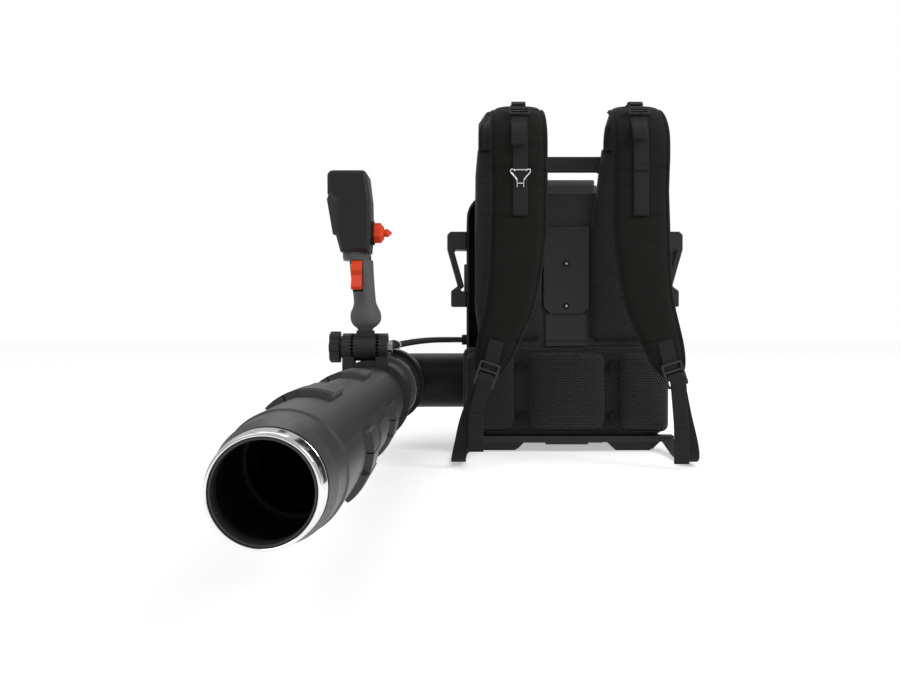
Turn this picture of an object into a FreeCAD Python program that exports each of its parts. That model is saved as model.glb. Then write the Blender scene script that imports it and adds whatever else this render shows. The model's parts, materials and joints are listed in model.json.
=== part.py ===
# Backpack leaf blower: harness, frame, fan unit and battery, with a blower tube and its throttle handle.
# Millimetres. Z is up and the harness faces -Y. The origin is on the floor, under the pack's middle plane.
import FreeCAD
import Part
import math
import os
import re
import Sketcher

V = FreeCAD.Vector
Turn = FreeCAD.Rotation
Place = FreeCAD.Placement
NO_TURN = Turn()

SIZES = {
    # Gaps between pieces
    "moving_gap": 0.35,
    "shaft_gap": 0.05,
    "slide_gap": 0.5,
    # Base and feet
    "foot_height": 28.0,
    "foot_inner": 74.0,
    "foot_outer": 171.0,
    "foot_slope": 14.0,
    "foot_front": -138.0,
    "foot_back": 150.0,
    "deck_thickness": 11.0,
    "deck_round": 14.0,
    "lip_half_width": 38.0,
    "lip_drop": 4.0,
    "skid_half_depth": 18.0,
    "skid_half_width": 82.0,
    "pad_thickness": 3.0,
    "pad_length": 62.0,
    "pad_margin": 6.0,
    # Back frame with its carry handle
    "frame_front": -115.0,
    "frame_thickness": 15.0,
    "frame_web": 6.0,
    "frame_border": 9.0,
    "frame_half_width": 146.0,
    "frame_shoulder": 430.0,
    "frame_top": 469.0,
    "handle_bottom": 507.0,
    "handle_top": 535.0,
    "handle_half_opening": 64.0,
    "handle_half_width": 92.0,
    "handle_round": 8.0,
    # Spine panel
    "spine_half_width": 42.0,
    "spine_bottom": 248.0,
    "spine_top": 406.0,
    "spine_thickness": 12.0,
    "spine_round": 12.0,
    "spine_tail_half_width": 37.0,
    "spine_tail_bottom": 197.0,
    "spine_tail_thickness": 7.0,
    "spine_lip_height": 7.0,
    "spine_screw_high": 339.0,
    "spine_screw_low": 262.0,
    "spine_screw_radius": 4.0,
    "spine_screw_head": 2.0,
    # Back pads
    "back_pad_inner": 41.0,
    "back_pad_inner_top": 62.0,
    "back_pad_outer": 166.0,
    "back_pad_bottom": 197.0,
    "back_pad_top": 545.0,
    "back_pad_thickness": 24.0,
    "back_pad_corner": 16.0,
    "back_pad_crown": 9.0,
    # Hip pad with its cushions and buttons
    "hip_half_width": 187.0,
    "hip_bottom": 33.0,
    "hip_top": 188.0,
    "hip_thickness": 23.0,
    "hip_corner": 14.0,
    "cushion_bottom": 40.0,
    "cushion_top": 178.0,
    "cushion_crown": 13.0,
    "cushion_corner": 16.0,
    "cushion_centre_half": 67.0,
    "cushion_side_inner": 96.0,
    "cushion_side_outer": 182.0,
    "button_side": 81.5,
    "button_low": 63.0,
    "button_high": 154.5,
    "button_radius": 8.0,
    "button_height": 7.0,
    # Main housing
    "housing_half_width": 180.0,
    "housing_front": -100.0,
    "housing_back": 75.0,
    "housing_top": 470.0,
    "housing_wall": 3.5,
    "housing_round": 46.0,
    "housing_foot_round": 12.0,
    "vent_low": 274.0,
    "vent_high": 342.0,
    "vent_front": -60.0,
    "vent_back": 34.0,
    "vent_stand": 5.0,
    "vent_rim": 6.0,
    "vent_slots": 7.0,
    "vent_slot_share": 0.55,
    # Side guards
    "guard_reach": 36.0,
    "guard_low_reach": 29.0,
    "guard_waist_reach": 17.0,
    "guard_bar": 12.0,
    "guard_top": 399.0,
    "guard_top_thickness": 33.0,
    "guard_bottom": 261.0,
    "guard_bottom_thickness": 29.0,
    "guard_front": -108.0,
    "guard_depth": 44.0,
    "guard_waist_rise": 9.0,
    "guard_round": 6.0,
    # Fan casing: a scroll round the impeller, with its outlet pipe towards -X
    "fan_height": 235.0,
    "fan_centre": -10.0,
    "fan_half_depth": 52.0,
    "scroll_start": 112.0,
    "scroll_end": 166.0,
    "scroll_wall": 3.0,
    "scroll_turn": 290.0,
    "duct_end": 128.0,
    "inlet_radius": 68.0,
    "grille_rim": 8.0,
    "grille_rings": 5.0,
    "grille_bars": 8.0,
    "grille_thickness": 4.0,
    "grille_bar": 2.6,
    "grille_hub": 11.0,
    # Impeller
    "impeller_radius": 100.0,
    "impeller_eye": 64.0,
    "impeller_plate": 3.0,
    "impeller_side_gap": 6.0,
    "impeller_hub": 15.0,
    "blade_count": 13.0,
    "blade_inner": 58.0,
    "blade_thickness": 2.4,
    "blade_sweep": 38.0,
    "shaft_radius": 4.0,
    "shaft_front_stub": 12.0,
    "nut_radius": 8.0,
    "nut_height": 7.0,
    # Motor
    "motor_radius": 48.0,
    "motor_wall": 3.0,
    "stator_bore": 27.0,
    "stator_length": 18.0,
    "rotor_radius": 26.0,
    "rotor_length": 16.0,
    "bearing_radius": 11.0,
    "bearing_width": 5.0,
    # Control electronics
    "controller_half_width": 88.0,
    "controller_bottom": 388.0,
    "controller_height": 62.0,
    "controller_depth": 58.0,
    "controller_fins": 9.0,
    "fin_height": 9.0,
    "fin_thickness": 3.0,
    # Battery and its bay
    "bay_half_width": 92.0,
    "bay_wall": 5.0,
    "bay_depth": 84.0,
    "bay_bottom": 284.0,
    "bay_top": 494.0,
    "bay_lip": 16.0,
    "bay_bridge_height": 40.0,
    "battery_top": 512.0,
    "battery_round": 9.0,
    "battery_cap_height": 16.0,
    "battery_grip_height": 13.0,
    "battery_grip_half_width": 46.0,
    "battery_grip_bar": 9.0,
    "battery_grip_depth": 22.0,
    "terminal_height": 9.0,
    "terminal_half_length": 11.0,
    "terminal_pitch": 12.0,
    "terminal_thickness": 2.0,
    "latch_half_width": 22.0,
    "latch_height": 22.0,
    "latch_proud": 6.0,
    "latch_flange": 4.0,
    "latch_flange_thickness": 1.6,
    # Blower tube line and elbow
    "tube_side": 321.0,
    "tube_height": 120.5,
    "elbow_radius": 52.0,
    "elbow_wall": 2.8,
    "elbow_bend": 62.0,
    "elbow_insert": 150.0,
    "collar_wall": 3.2,
    "seal_radius": 58.5,
    "seal_thickness": 4.0,
    "cuff_back": -96.0,
    "cuff_front": -160.0,
    "cuff_radius": 65.0,
    "cuff_slope": 8.0,
    "cuff_chamfer": 3.0,
    # Bellows, clamp and turning sleeve
    "bellows_flange": 58.0,
    "bellows_flange_width": 7.0,
    "bellows_outer": 56.0,
    "bellows_inner": 50.0,
    "bellows_wall": 1.8,
    "bellows_ribs": 8.0,
    "bellows_length": 62.0,
    "bellows_sleeve": 18.0,
    "sleeve_radius": 52.4,
    "sleeve_flange": 56.0,
    "sleeve_length": 30.0,
    "sleeve_flange_width": 10.0,
    "clamp_width": 11.0,
    "clamp_thickness": 1.4,
    "clamp_box": 13.0,
    "clamp_screw_radius": 3.6,
    "clamp_screw_length": 22.0,
    # Tube sections and their bayonet joints
    "tube_radius": 49.0,
    "tube_wall": 2.4,
    "swivel_mouth": -712.0,
    "mid_mouth": -973.0,
    "socket_depth": 76.0,
    "block_radius": 56.0,
    "block_length": 82.0,
    "block_angle": 30.0,
    "block_ramp": 6.0,
    "block_tilt": 7.0,
    "rib_block_radius": 55.5,
    "rib_block_length": 54.0,
    "rib_block_angle": 19.5,
    "rib_block_step": 21.0,
    "rib_block_tilt": 82.0,
    "lug_length": 5.0,
    "channel_angle": 23.0,
    "pin_angle": 7.0,
    "pin_length": 9.0,
    "pin_back": 12.0,
    "plate_radius": 51.6,
    "plate_back": -762.0,
    "plate_front": -850.0,
    "plate_angle": 32.0,
    "plate_tilt": 95.0,
    # Nozzle
    "nozzle_shoulder": -1081.0,
    "shoulder_step": 1.6,
    "nozzle_ring_back": -1135.0,
    "nozzle_front": -1156.0,
    "nozzle_end_radius": 42.0,
    "nozzle_lip_radius": 39.6,
    "nozzle_bore": 35.0,
    "nozzle_spigot": 38.6,
    "nozzle_spigot_length": 10.0,
    "inner_ring_place": -1016.0,
    "inner_ring_height": 3.5,
    # Handle bracket and its toothed pivot
    "bracket_place": -452.0,
    "bracket_width": 28.0,
    "bracket_ring": 58.0,
    "pivot_side": 328.0,
    "pivot_height": 197.3,
    "ear_radius": 20.0,
    "ear_thickness": 11.0,
    "ear_neck": 15.0,
    "tooth_height": 3.0,
    "tooth_count": 24.0,
    "tooth_inner": 10.0,
    "hub_half_width": 17.8,
    "hub_radius": 20.0,
    "pivot_bolt_radius": 4.0,
    "clamp_gap": 3.0,
    "clamp_boss": 9.0,
    "boss_turn": 135.0,
    "leg_spread": 5.5,
    "leg_top": 13.0,
    "bracket_bolt_radius": 2.5,
    "bracket_bolt_head": 4.5,
    "knob_radius": 22.5,
    "knob_thickness": 14.0,
    "knob_lobes": 7.0,
    "knob_lobe_depth": 3.2,
    "knob_stem_radius": 16.0,
    "knob_stem": 4.0,
    "pivot_nut_radius": 8.0,
    "pivot_nut_height": 6.5,
    # Throttle grip, measured upwards from the pivot
    "grip_bottom": 24.0,
    "grip_bulb": 45.0,
    "grip_waist": 75.0,
    "grip_top": 125.0,
    "grip_bottom_width": 34.0,
    "grip_bulb_width": 44.0,
    "grip_waist_width": 32.5,
    "grip_top_width": 33.5,
    "grip_bottom_depth": 36.0,
    "grip_bulb_depth": 46.0,
    "grip_waist_depth": 38.0,
    "grip_top_depth": 44.0,
    "grip_lean": 0.095,
    "grip_swell": 2.5,
    "grip_neck_half": 12.0,
    "collar_top": 136.0,
    "collar_width": 40.0,
    "collar_depth": 48.0,
    "head_top": 252.0,
    "head_bottom_width": 40.4,
    "head_top_width": 56.0,
    "head_mid_depth": 60.0,
    "head_mid": 178.0,
    "head_half_width": 27.4,
    "head_round": 8.0,
    "head_edge": 5.0,
    "display_width": 34.0,
    "dial_place": 165.0,
    "dial_radius": 15.3,
    "dial_base": 9.0,
    "dial_bevel": 4.5,
    "dial_neck_radius": 9.4,
    "dial_point": 6.0,
    "dial_tip_radius": 6.3,
    "dial_tip": 5.5,
    "dial_flange_radius": 17.5,
    "dial_boss": 1.0,
    "dial_stem_radius": 4.0,
    "button_press_radius": 7.0,
    "button_press_travel": 2.0,
    "button_press_proud": 3.0,
    "button_press_depth": 8.0,
    "trigger_width": 14.5,
    "trigger_low": 82.0,
    "trigger_high": 124.0,
    "trigger_proud": 17.0,
    "trigger_depth": 14.0,
    "trigger_pin_radius": 2.0,
    "trigger_travel": 10.0,
    # Shoulder straps: the path goes up the back, over the shoulder and down the front
    "strap_back": -128.0,
    "strap_back_bend": 35.0,
    "strap_crest": 586.0,
    "strap_front": -318.0,
    "strap_front_bend": 70.0,
    "strap_end": 146.0,
    "strap_thickness": 16.0,
    "strap_end_thickness": 9.0,
    "strap_back_inner": 66.0,
    "strap_back_outer": 160.0,
    "strap_top_inner": 50.0,
    "strap_top_outer": 143.0,
    "strap_chest": 330.0,
    "strap_chest_inner": 61.0,
    "strap_chest_outer": 148.0,
    "strap_low": 250.0,
    "strap_low_inner": 77.0,
    "strap_low_outer": 156.0,
    "strap_lower": 195.0,
    "strap_lower_inner": 98.0,
    "strap_lower_outer": 164.0,
    "strap_end_inner": 124.0,
    "strap_end_outer": 168.0,
    # Webbing, buckles and hook
    "webbing_width": 25.0,
    "webbing_thickness": 2.0,
    "webbing_side": 96.0,
    "webbing_end": 402.0,
    "top_buckle_width": 35.0,
    "top_buckle_length": 17.0,
    "top_buckle_thickness": 4.5,
    "buckle_bar": 3.6,
    "ladder_side": 149.0,
    "ladder_height": 150.0,
    "ladder_width": 34.0,
    "ladder_length": 40.0,
    "ladder_thickness": 6.0,
    "ladder_tilt": 18.0,
    "anchor_side": 181.0,
    "anchor_place": -132.0,
    "anchor_length": 22.0,
    "slack_side": 189.0,
    "slack_low": 5.0,
    "tail_side": 163.0,
    "tail_place": -323.0,
    "tail_end": 14.0,
    "tail_width": 25.0,
    "hook_side": 96.0,
    "hook_top": 474.5,
    "hook_drop": 28.5,
    "hook_half_width": 15.0,
    "hook_wire": 1.4,
    "hook_neck_half": 5.0,
    "hook_neck_drop": 16.0,
    # Cable in its conduit
    "cable_radius": 5.75,
    "socket_wall": 1.8,
    "socket_length": 18.0,
    "gland_radius": 9.5,
    "gland_length": 9.0,
    "gland_place": -70.0,
    "gland_height": 200.0,
    "tie_width": 5.0,
    "tie_thickness": 1.5,
    # Screws of the fan casing
    "casing_screws": 6.0,
    "casing_screw_radius": 2.5,
    "casing_ear_radius": 7.0,
    "casing_screw_head": 4.4,
    "casing_screw_head_height": 3.0,
}

doc = FreeCAD.newDocument("leaf_blower")
sheet = doc.addObject("Spreadsheet::Sheet", "sizes")
for row, (alias, number) in enumerate(SIZES.items(), start=1):
    sheet.set(f"A{row}", alias)
    sheet.set(f"B{row}", str(number))
    sheet.setAlias(f"B{row}", alias)
doc.recompute()

NODES = []


def absolute(text):
    """Gives the aliases in an expression their sheet's name."""
    return re.sub(r"[a-z_]+",
        lambda word: "sizes." + word.group(0) if word.group(0) in SIZES else word.group(0), text)


def val(text):
    """The number that an expression of sheet sizes stands for."""
    return float(sheet.evalExpression(absolute(text)))


def bind(thing, prop, text):
    thing.setExpression(prop, absolute(text))


def keep(thing, label):
    """Names a finished sub-part and lists it for the export."""
    thing.Label = label
    NODES.append(thing)
    return thing


# Rotations that carry a local axis to the named one
FROM_Z = {"x": Turn(V(0, 1, 0), 90), "y": Turn(V(1, 0, 0), -90), "z": NO_TURN}
FROM_Y = {"x": Turn(V(0, 0, 1), -90), "y": NO_TURN, "z": Turn(V(1, 0, 0), 90)}


def place(thing, at, turn=NO_TURN):
    thing.Placement = Place(V(*(val(text) for text in at)), turn)
    for axis, text in zip("xyz", at):
        bind(thing, "Placement.Base." + axis, text)
    return thing


def box(name, x, y, z):
    """A Part::Box between two expressions on each axis."""
    block = doc.addObject("Part::Box", name)
    for prop, (low, high) in zip(("Length", "Width", "Height"), (x, y, z)):
        bind(block, prop, f"({high}) - ({low})")
    return place(block, (x[0], y[0], z[0]))


def rod(name, axis, at, radius, length):
    """A Part::Cylinder that starts at a point and runs along an axis."""
    cylinder = doc.addObject("Part::Cylinder", name)
    bind(cylinder, "Radius", radius)
    bind(cylinder, "Height", length)
    return place(cylinder, at, FROM_Z[axis])


def cut(name, base, *tools):
    for number, tool in enumerate(tools):
        result = doc.addObject("Part::Cut", f"{name}_cut_{number}")
        result.Base = base
        result.Tool = tool
        base = result
    return base


def fuse(name, *shapes):
    result = doc.addObject("Part::MultiFuse", name)
    result.Shapes = list(shapes)
    return result


def group(name, *shapes):
    """Separate solids that share one sub-part."""
    result = doc.addObject("Part::Compound", name)
    result.Links = list(shapes)
    return result


def shaped(name, shape):
    piece = doc.addObject("Part::Feature", name)
    piece.Shape = shape
    return piece


# Each sketch plane with the sign of its normal
PLANES = {"XY": ("XY_Plane", 1), "XZ": ("XZ_Plane", -1), "YZ": ("YZ_Plane", 1)}


def new_sketch(body, name, plane, offset="0", turn="0"):
    """A sketch on the body's own origin plane, moved along and turned about the tube's axis."""
    drawing = body.newObject("Sketcher::SketchObject", name)
    role = PLANES[plane][0]
    support = next(item for item in body.Origin.OriginFeatures if item.Role == role)
    drawing.AttachmentSupport = (support, [""])
    drawing.MapMode = "FlatFace"
    drawing.AttachmentOffset = Place(V(0, 0, val(offset)), Turn(V(0, 1, 0), val(turn)))
    if offset != "0":
        bind(drawing, "AttachmentOffset.Base.z", offset)
    return drawing


def draw(drawing, corners):
    """A closed outline of straight lines through corners given as expressions."""
    points = [(val(across), val(up)) for across, up in corners]
    count = len(points)
    first = drawing.GeometryCount
    ends = [(V(*points[i], 0), V(*points[(i + 1) % count], 0)) for i in range(count)]
    drawing.addGeometry([Part.LineSegment(start, end) for start, end in ends], False)
    for i in range(count):
        drawing.addConstraint(Sketcher.Constraint("Coincident", first + i, 2, first + (i + 1) % count, 1))
    for i, corner in enumerate(corners):
        for kind, text, number in zip(("DistanceX", "DistanceY"), corner, points[i]):
            index = drawing.addConstraint(Sketcher.Constraint(kind, -1, 1, first + i, 1, number))
            bind(drawing, f"Constraints[{index}]", text)


def draw_circle(drawing, centre, radius):
    across, up = val(centre[0]), val(centre[1])
    index = drawing.addGeometry(Part.Circle(V(across, up, 0), V(0, 0, 1), val(radius)), False)
    rules = (("DistanceX", across, centre[0]), ("DistanceY", up, centre[1]))
    for kind, number, text in rules:
        rule = drawing.addConstraint(Sketcher.Constraint(kind, -1, 1, index, 3, number))
        bind(drawing, f"Constraints[{rule}]", text)
    rule = drawing.addConstraint(Sketcher.Constraint("Radius", index, val(radius)))
    bind(drawing, f"Constraints[{rule}]", radius)


def draw_each(drawing, outlines):
    """Draws closed outlines, and circles, which are given by texts."""
    for outline in outlines:
        if isinstance(outline[1], str):
            draw_circle(drawing, *outline)
        else:
            draw(drawing, outline)


def raise_outline(body, name, plane, outlines, low, high):
    """Pads closed outlines or circles from one level to a higher one, square to their plane."""
    start = low if PLANES[plane][1] > 0 else f"-({high})"
    drawing = new_sketch(body, name + "_outline", plane, start)
    draw_each(drawing, outlines)
    pad = body.newObject("PartDesign::Pad", name + "_pad")
    pad.Profile = drawing
    bind(pad, "Length", f"({high}) - ({low})")
    return pad


def sink_outline(body, name, plane, outlines, low, high):
    """Pockets closed outlines or circles between two levels."""
    start = high if PLANES[plane][1] > 0 else f"-({low})"
    drawing = new_sketch(body, name + "_outline", plane, start)
    draw_each(drawing, outlines)
    pocket = body.newObject("PartDesign::Pocket", name + "_pocket")
    pocket.Profile = drawing
    bind(pocket, "Length", f"({high}) - ({low})")
    return pocket


def slab(name, plane, corners, low, high):
    """A body that starts as one padded outline."""
    body = doc.addObject("PartDesign::Body", name)
    raise_outline(body, name, plane, [corners], low, high)
    return body


def rectangle(left, right, bottom, top):
    return [(left, bottom), (right, bottom), (right, top), (left, top)]


def mirrored_corners(right_side):
    """An outline symmetrical about the middle plane, from the corners of its +X half."""
    return right_side + [(f"-({across})", up) for across, up in reversed(right_side)]


def turned(name, axis, at, profile):
    """A body of revolution: the profile is pairs of radius and place along the axis."""
    body = doc.addObject("PartDesign::Body", name)
    drawing = new_sketch(body, name + "_profile", "XY")
    draw(drawing, profile)
    revolved = body.newObject("PartDesign::Revolution", name + "_turned")
    revolved.Profile = drawing
    revolved.ReferenceAxis = (drawing, ["V_Axis"])
    revolved.Angle = 360
    return place(body, at, FROM_Y[axis])


def sector(body, name, profile, angle, tilt, kind="PartDesign::Revolution"):
    """Part of a turn, centred on an angle from the top of the tube towards +X, and repeated in thirds."""
    drawing = new_sketch(body, name + "_profile", "XY", turn=f"{tilt} - 90")
    draw(drawing, profile)
    arc = body.newObject(kind, name + "_arc")
    arc.Profile = drawing
    arc.ReferenceAxis = (drawing, ["V_Axis"])
    arc.Midplane = True
    bind(arc, "Angle", angle)
    return arc


def thirds(body, name, arc):
    pattern = body.newObject("PartDesign::PolarPattern", name + "_thirds")
    pattern.Originals = [arc]
    pattern.Axis = (arc.Profile[0], ["V_Axis"])
    pattern.Angle = 360
    pattern.Occurrences = 3
    body.Tip = pattern
    return pattern


def along(axis):
    """Picks the straight edges that run along an axis."""
    index = "xyz".index(axis)

    def chosen(edge):
        if len(edge.Vertexes) != 2:
            return False
        span = edge.Vertexes[1].Point - edge.Vertexes[0].Point
        return abs(abs(span[index]) - edge.Length) < 1e-6
    return chosen


def at_level(axis, text):
    """Picks the edges that lie in one plane square to an axis."""
    index = "xyz".index(axis)
    level = val(text)

    def chosen(edge):
        bounds = edge.BoundBox
        low = (bounds.XMin, bounds.YMin, bounds.ZMin)[index]
        high = (bounds.XMax, bounds.YMax, bounds.ZMax)[index]
        return abs(low - level) < 1e-4 and abs(high - level) < 1e-4
    return chosen


def both(first, second):
    return lambda edge: first(edge) and second(edge)


def beyond(axis, text, sign=1):
    """Picks the edges whose middle lies past a level."""
    index = "xyz".index(axis)
    level = val(text)
    return lambda edge: sign * (edge.CenterOfMass[index] - level) > 0


def round_edges(body, name, radius, chosen, kind="PartDesign::Fillet"):
    doc.recompute()
    base = body.Tip
    names = [f"Edge{i}" for i, edge in enumerate(base.Shape.Edges, start=1) if chosen(edge)]
    rounding = body.newObject(kind, name)
    rounding.Base = (base, names)
    bind(rounding, "Radius" if kind.endswith("Fillet") else "Size", radius)
    return rounding


def side_copy(name, original):
    """The piece's twin on the other side of the middle plane."""
    mirror = doc.addObject("Part::Mirroring", name)
    mirror.Source = original
    mirror.Normal = V(1, 0, 0)
    return mirror


SCROLL_START = 200.0
SIDES = ((1, "right"), (-1, "left"))


def both_sides(label, original):
    """Keeps a +X piece and its mirror image as one sub-part."""
    keep(group(label + "_pair", original, side_copy(label + "_mirror", original)), label)


# Base frame: a deck on two sloping feet, a lip in front and a skid under the middle
deck_bottom = "foot_height - deck_thickness"
base = slab("base_deck", "XY", rectangle("-foot_outer", "foot_outer", "foot_front", "foot_back"),
    deck_bottom, "foot_height")
round_edges(base, "deck_corners", "deck_round", along("z"))
for side, word in ((1, "right"), (-1, "left")):
    sign = "" if side > 0 else "-"
    foot = [(f"{sign}foot_inner", deck_bottom), (f"{sign}foot_outer", deck_bottom),
        (f"{sign}(foot_outer - foot_slope)", "pad_thickness"),
        (f"{sign}(foot_inner + foot_slope)", "pad_thickness")]
    raise_outline(base, f"foot_{word}", "XZ", [foot], "foot_front + deck_round", "foot_back - deck_round")
raise_outline(base, "lip", "XZ", [rectangle("-lip_half_width", "lip_half_width",
    "foot_height - deck_thickness - lip_drop",
    "foot_height - deck_thickness")], "foot_front", "foot_front + deck_round")
for side, word in ((1, "right"), (-1, "left")):
    inner, outer = "(foot_outer - deck_round)", "(anchor_side + webbing_width / 2)"
    across = (inner, outer) if side > 0 else (f"-{outer}", f"-{inner}")
    raise_outline(base, f"anchor_{word}", "XY", [rectangle(*across, "anchor_place",
        "anchor_place + anchor_length")],
        "foot_height - deck_thickness", "foot_height")
raise_outline(base, "skid", "XY", [rectangle("-skid_half_width", "skid_half_width", "-skid_half_depth",
    "skid_half_depth")], "0", "foot_height - deck_thickness")
keep(base, "base_frame")

# Rubber pads under the corners of the feet
pads = []
for side, word in SIDES:
    middle = f"{side} * (foot_inner + foot_outer) / 2"
    half = "((foot_outer - foot_inner) / 2 - foot_slope - pad_margin / 2)"
    for end, start in (("front", "foot_front + deck_round + pad_margin"),
            ("back", "foot_back - deck_round - pad_margin - pad_length")):
        pads.append(box(f"pad_{word}_{end}", (f"{middle} - {half}", f"{middle} + {half}"),
            (start, f"{start} + pad_length"), ("0", "pad_thickness")))
keep(group("pads", *pads), "foot_pads")

# Back frame: a plate with a border, and the carry handle above its top edge
frame_back = "frame_front + frame_thickness"
frame_corners = mirrored_corners([("frame_half_width", "foot_height"), ("frame_half_width", "frame_shoulder"),
    ("handle_half_width", "frame_top"), ("handle_half_width", "handle_top")])
frame = slab("frame", "XZ", frame_corners, "frame_front", frame_back)
sink_outline(frame, "handle_gap", "XZ", [rectangle("-handle_half_opening", "handle_half_opening", "frame_top",
    "handle_bottom")], "frame_front", frame_back)
inside = mirrored_corners([("frame_half_width - frame_border", "foot_height + frame_border"),
    ("frame_half_width - frame_border", "frame_shoulder - frame_border"),
    ("handle_half_width - frame_border", "frame_top - frame_border")])
sink_outline(frame, "web", "XZ", [inside], "frame_front + frame_web", frame_back)
round_edges(frame, "handle_corners", "handle_round", both(along("y"), beyond("z", "frame_top - 1")))
round_edges(frame, "handle_edges", "frame_thickness / 4",
    lambda edge: beyond("z", "handle_bottom - handle_round")(edge) and not along("y")(edge)
    and beyond("z", "frame_top + 2")(edge))
keep(frame, "back_frame")

# Spine panel between the back pads, with the narrower plate and lip below it
spine_front = "frame_front - spine_thickness"
spine = slab("spine", "XZ", mirrored_corners([("spine_half_width - spine_round", "spine_bottom"),
    ("spine_half_width", "spine_bottom + spine_round"),
    ("spine_half_width", "spine_top")]), spine_front, "frame_front")
raise_outline(spine, "spine_tail", "XZ", [rectangle("-spine_tail_half_width", "spine_tail_half_width",
    "spine_tail_bottom", "spine_bottom")],
    "frame_front - spine_tail_thickness", "frame_front")
raise_outline(spine, "spine_lip", "XZ", [rectangle("-spine_tail_half_width", "spine_tail_half_width",
    "spine_tail_bottom - spine_lip_height", "spine_tail_bottom")],
    spine_front, "frame_front")
round_edges(spine, "spine_edges", "spine_thickness / 5", both(at_level("y", spine_front),
    beyond("z", "spine_bottom - 1")))
keep(spine, "spine_panel")
spine_screws = [rod(f"spine_screw_head_{level}", "y", ("0", f"{spine_front} - spine_screw_head",
    f"spine_screw_{level}"),
    "spine_screw_radius", "spine_screw_head") for level in ("high", "low")]

# Back pads, right one first: foam with a crowned front
pad_front = "frame_front - back_pad_thickness"
back_pad = slab("back_pad", "XZ", [("back_pad_inner", "back_pad_bottom"),
    ("back_pad_outer", "back_pad_bottom"),
    ("back_pad_outer", "back_pad_top"), ("back_pad_inner_top", "back_pad_top")],
    pad_front, "frame_front")
round_edges(back_pad, "back_pad_corners", "back_pad_corner",
    both(along("y"), beyond("z", "back_pad_top - 50", -1)))
round_edges(back_pad, "back_pad_crowning", "back_pad_crown", at_level("y", pad_front))
both_sides("back_pads", back_pad)

# Hip pad with three crowned cushions and four buttons
hip_front = "frame_front - hip_thickness"
hip = slab("hip_panel", "XZ", rectangle("-hip_half_width", "hip_half_width", "hip_bottom", "hip_top"),
    hip_front, "frame_front")
round_edges(hip, "hip_corners", "hip_corner", along("y"))
round_edges(hip, "hip_edges", "hip_thickness / 4", at_level("y", hip_front))
keep(hip, "hip_pad")


def rounded_loop(left, right, bottom, top, corner, level):
    """A rectangle with round corners in a plane square to Y."""
    corners = ((right - corner, top - corner, 0), (left + corner, top - corner, 90),
        (left + corner, bottom + corner, 180), (right - corner, bottom + corner, 270))
    arcs = []
    for across, up, start in corners:
        points = []
        for angle in (start, start + 45, start + 90):
            turn = math.radians(angle)
            points.append(V(across + corner * math.cos(turn), level, up + corner * math.sin(turn)))
        arcs.append(Part.Arc(*points).toShape())
    edges = []
    for arc, following in zip(arcs, arcs[1:] + arcs[:1]):
        edges += [arc, Part.LineSegment(arc.Vertexes[-1].Point, following.Vertexes[0].Point).toShape()]
    return Part.Wire(edges)


def cushion(name, left, right):
    """Foam that swells from its drawn-in sides to a crown."""
    base_level = val(hip_front)
    rise = val("cushion_crown")
    bottom, top, corner = val("cushion_bottom"), val("cushion_top"), val("cushion_corner")
    loops = []
    for height, inset in ((0, 0.24), (0.22, 0), (0.6, 0.2), (0.88, 0.7), (1, 1.25)):
        draw_in = inset * rise
        loops.append(rounded_loop(left + draw_in, right - draw_in, bottom + draw_in, top - draw_in,
            corner, base_level - height * rise))
    return shaped(name, Part.makeLoft(loops, True, False))


half_centre = val("cushion_centre_half")
side_cushion = cushion("cushion_side", val("cushion_side_inner"), val("cushion_side_outer"))
keep(group("cushion_set", cushion("cushion_middle", -half_centre, half_centre), side_cushion,
    side_copy("cushion_mirror", side_cushion)), "hip_cushions")
keep(group("buttons", *(rod(f"pad_button_{word}_{level}", "y", (f"{side} * button_side",
    "frame_front - hip_thickness - button_height", f"button_{level}"), "button_radius", "button_height")
    for side, word in SIDES for level in ("low", "high"))), "pad_buttons")

# Main housing: a moulded shell that stands on the deck and opens towards the back frame
housing_corners = rectangle("-housing_half_width", "housing_half_width", "foot_height", "housing_top")
housing = slab("housing", "XZ", housing_corners, "housing_front", "housing_back")
round_edges(housing, "housing_shoulders", "housing_round", both(along("y"), beyond("z", "housing_top - 1")))
round_edges(housing, "housing_feet", "housing_foot_round", both(along("y"),
    beyond("z", "foot_height + 1", -1)))
round_edges(housing, "housing_back_edge", "2 * housing_wall", at_level("y", "housing_back"))
inner_shoulder = []
for angle in (0, 22.5, 45, 67.5, 90):
    across, up = math.cos(math.radians(angle)), math.sin(math.radians(angle))
    inner_shoulder.append((f"housing_half_width - housing_round + (housing_round - housing_wall) * {across:.5f}",
        f"housing_top - housing_round + (housing_round - housing_wall) * {up:.5f}"))
inner_floor = [("housing_half_width - housing_wall", "foot_height + housing_foot_round"),
    ("housing_half_width - housing_foot_round", "foot_height + housing_wall")]
sink_outline(housing, "housing_hollow", "XZ",
    [mirrored_corners(list(reversed(inner_floor)) + inner_shoulder)],
    "housing_front", "housing_back - housing_wall")
duct_radius = "elbow_radius + moving_gap + collar_wall"
sink_outline(housing, "outlet", "YZ", [(("fan_centre", "tube_height"), duct_radius + " + moving_gap")],
    "-housing_half_width - 1", "-housing_half_width + housing_round")
for side, word in SIDES:
    low, high = ("housing_half_width - housing_wall - 1", "housing_half_width + 1")
    low, high = (low, high) if side > 0 else (f"-({high})", f"-({low})")
    sink_outline(housing, f"vent_window_{word}", "YZ", [rectangle(
        "vent_front + vent_rim", "vent_back - vent_rim", "vent_low + vent_rim", "vent_high - vent_rim")], low,
        high)
keep(housing, "main_housing")

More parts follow.
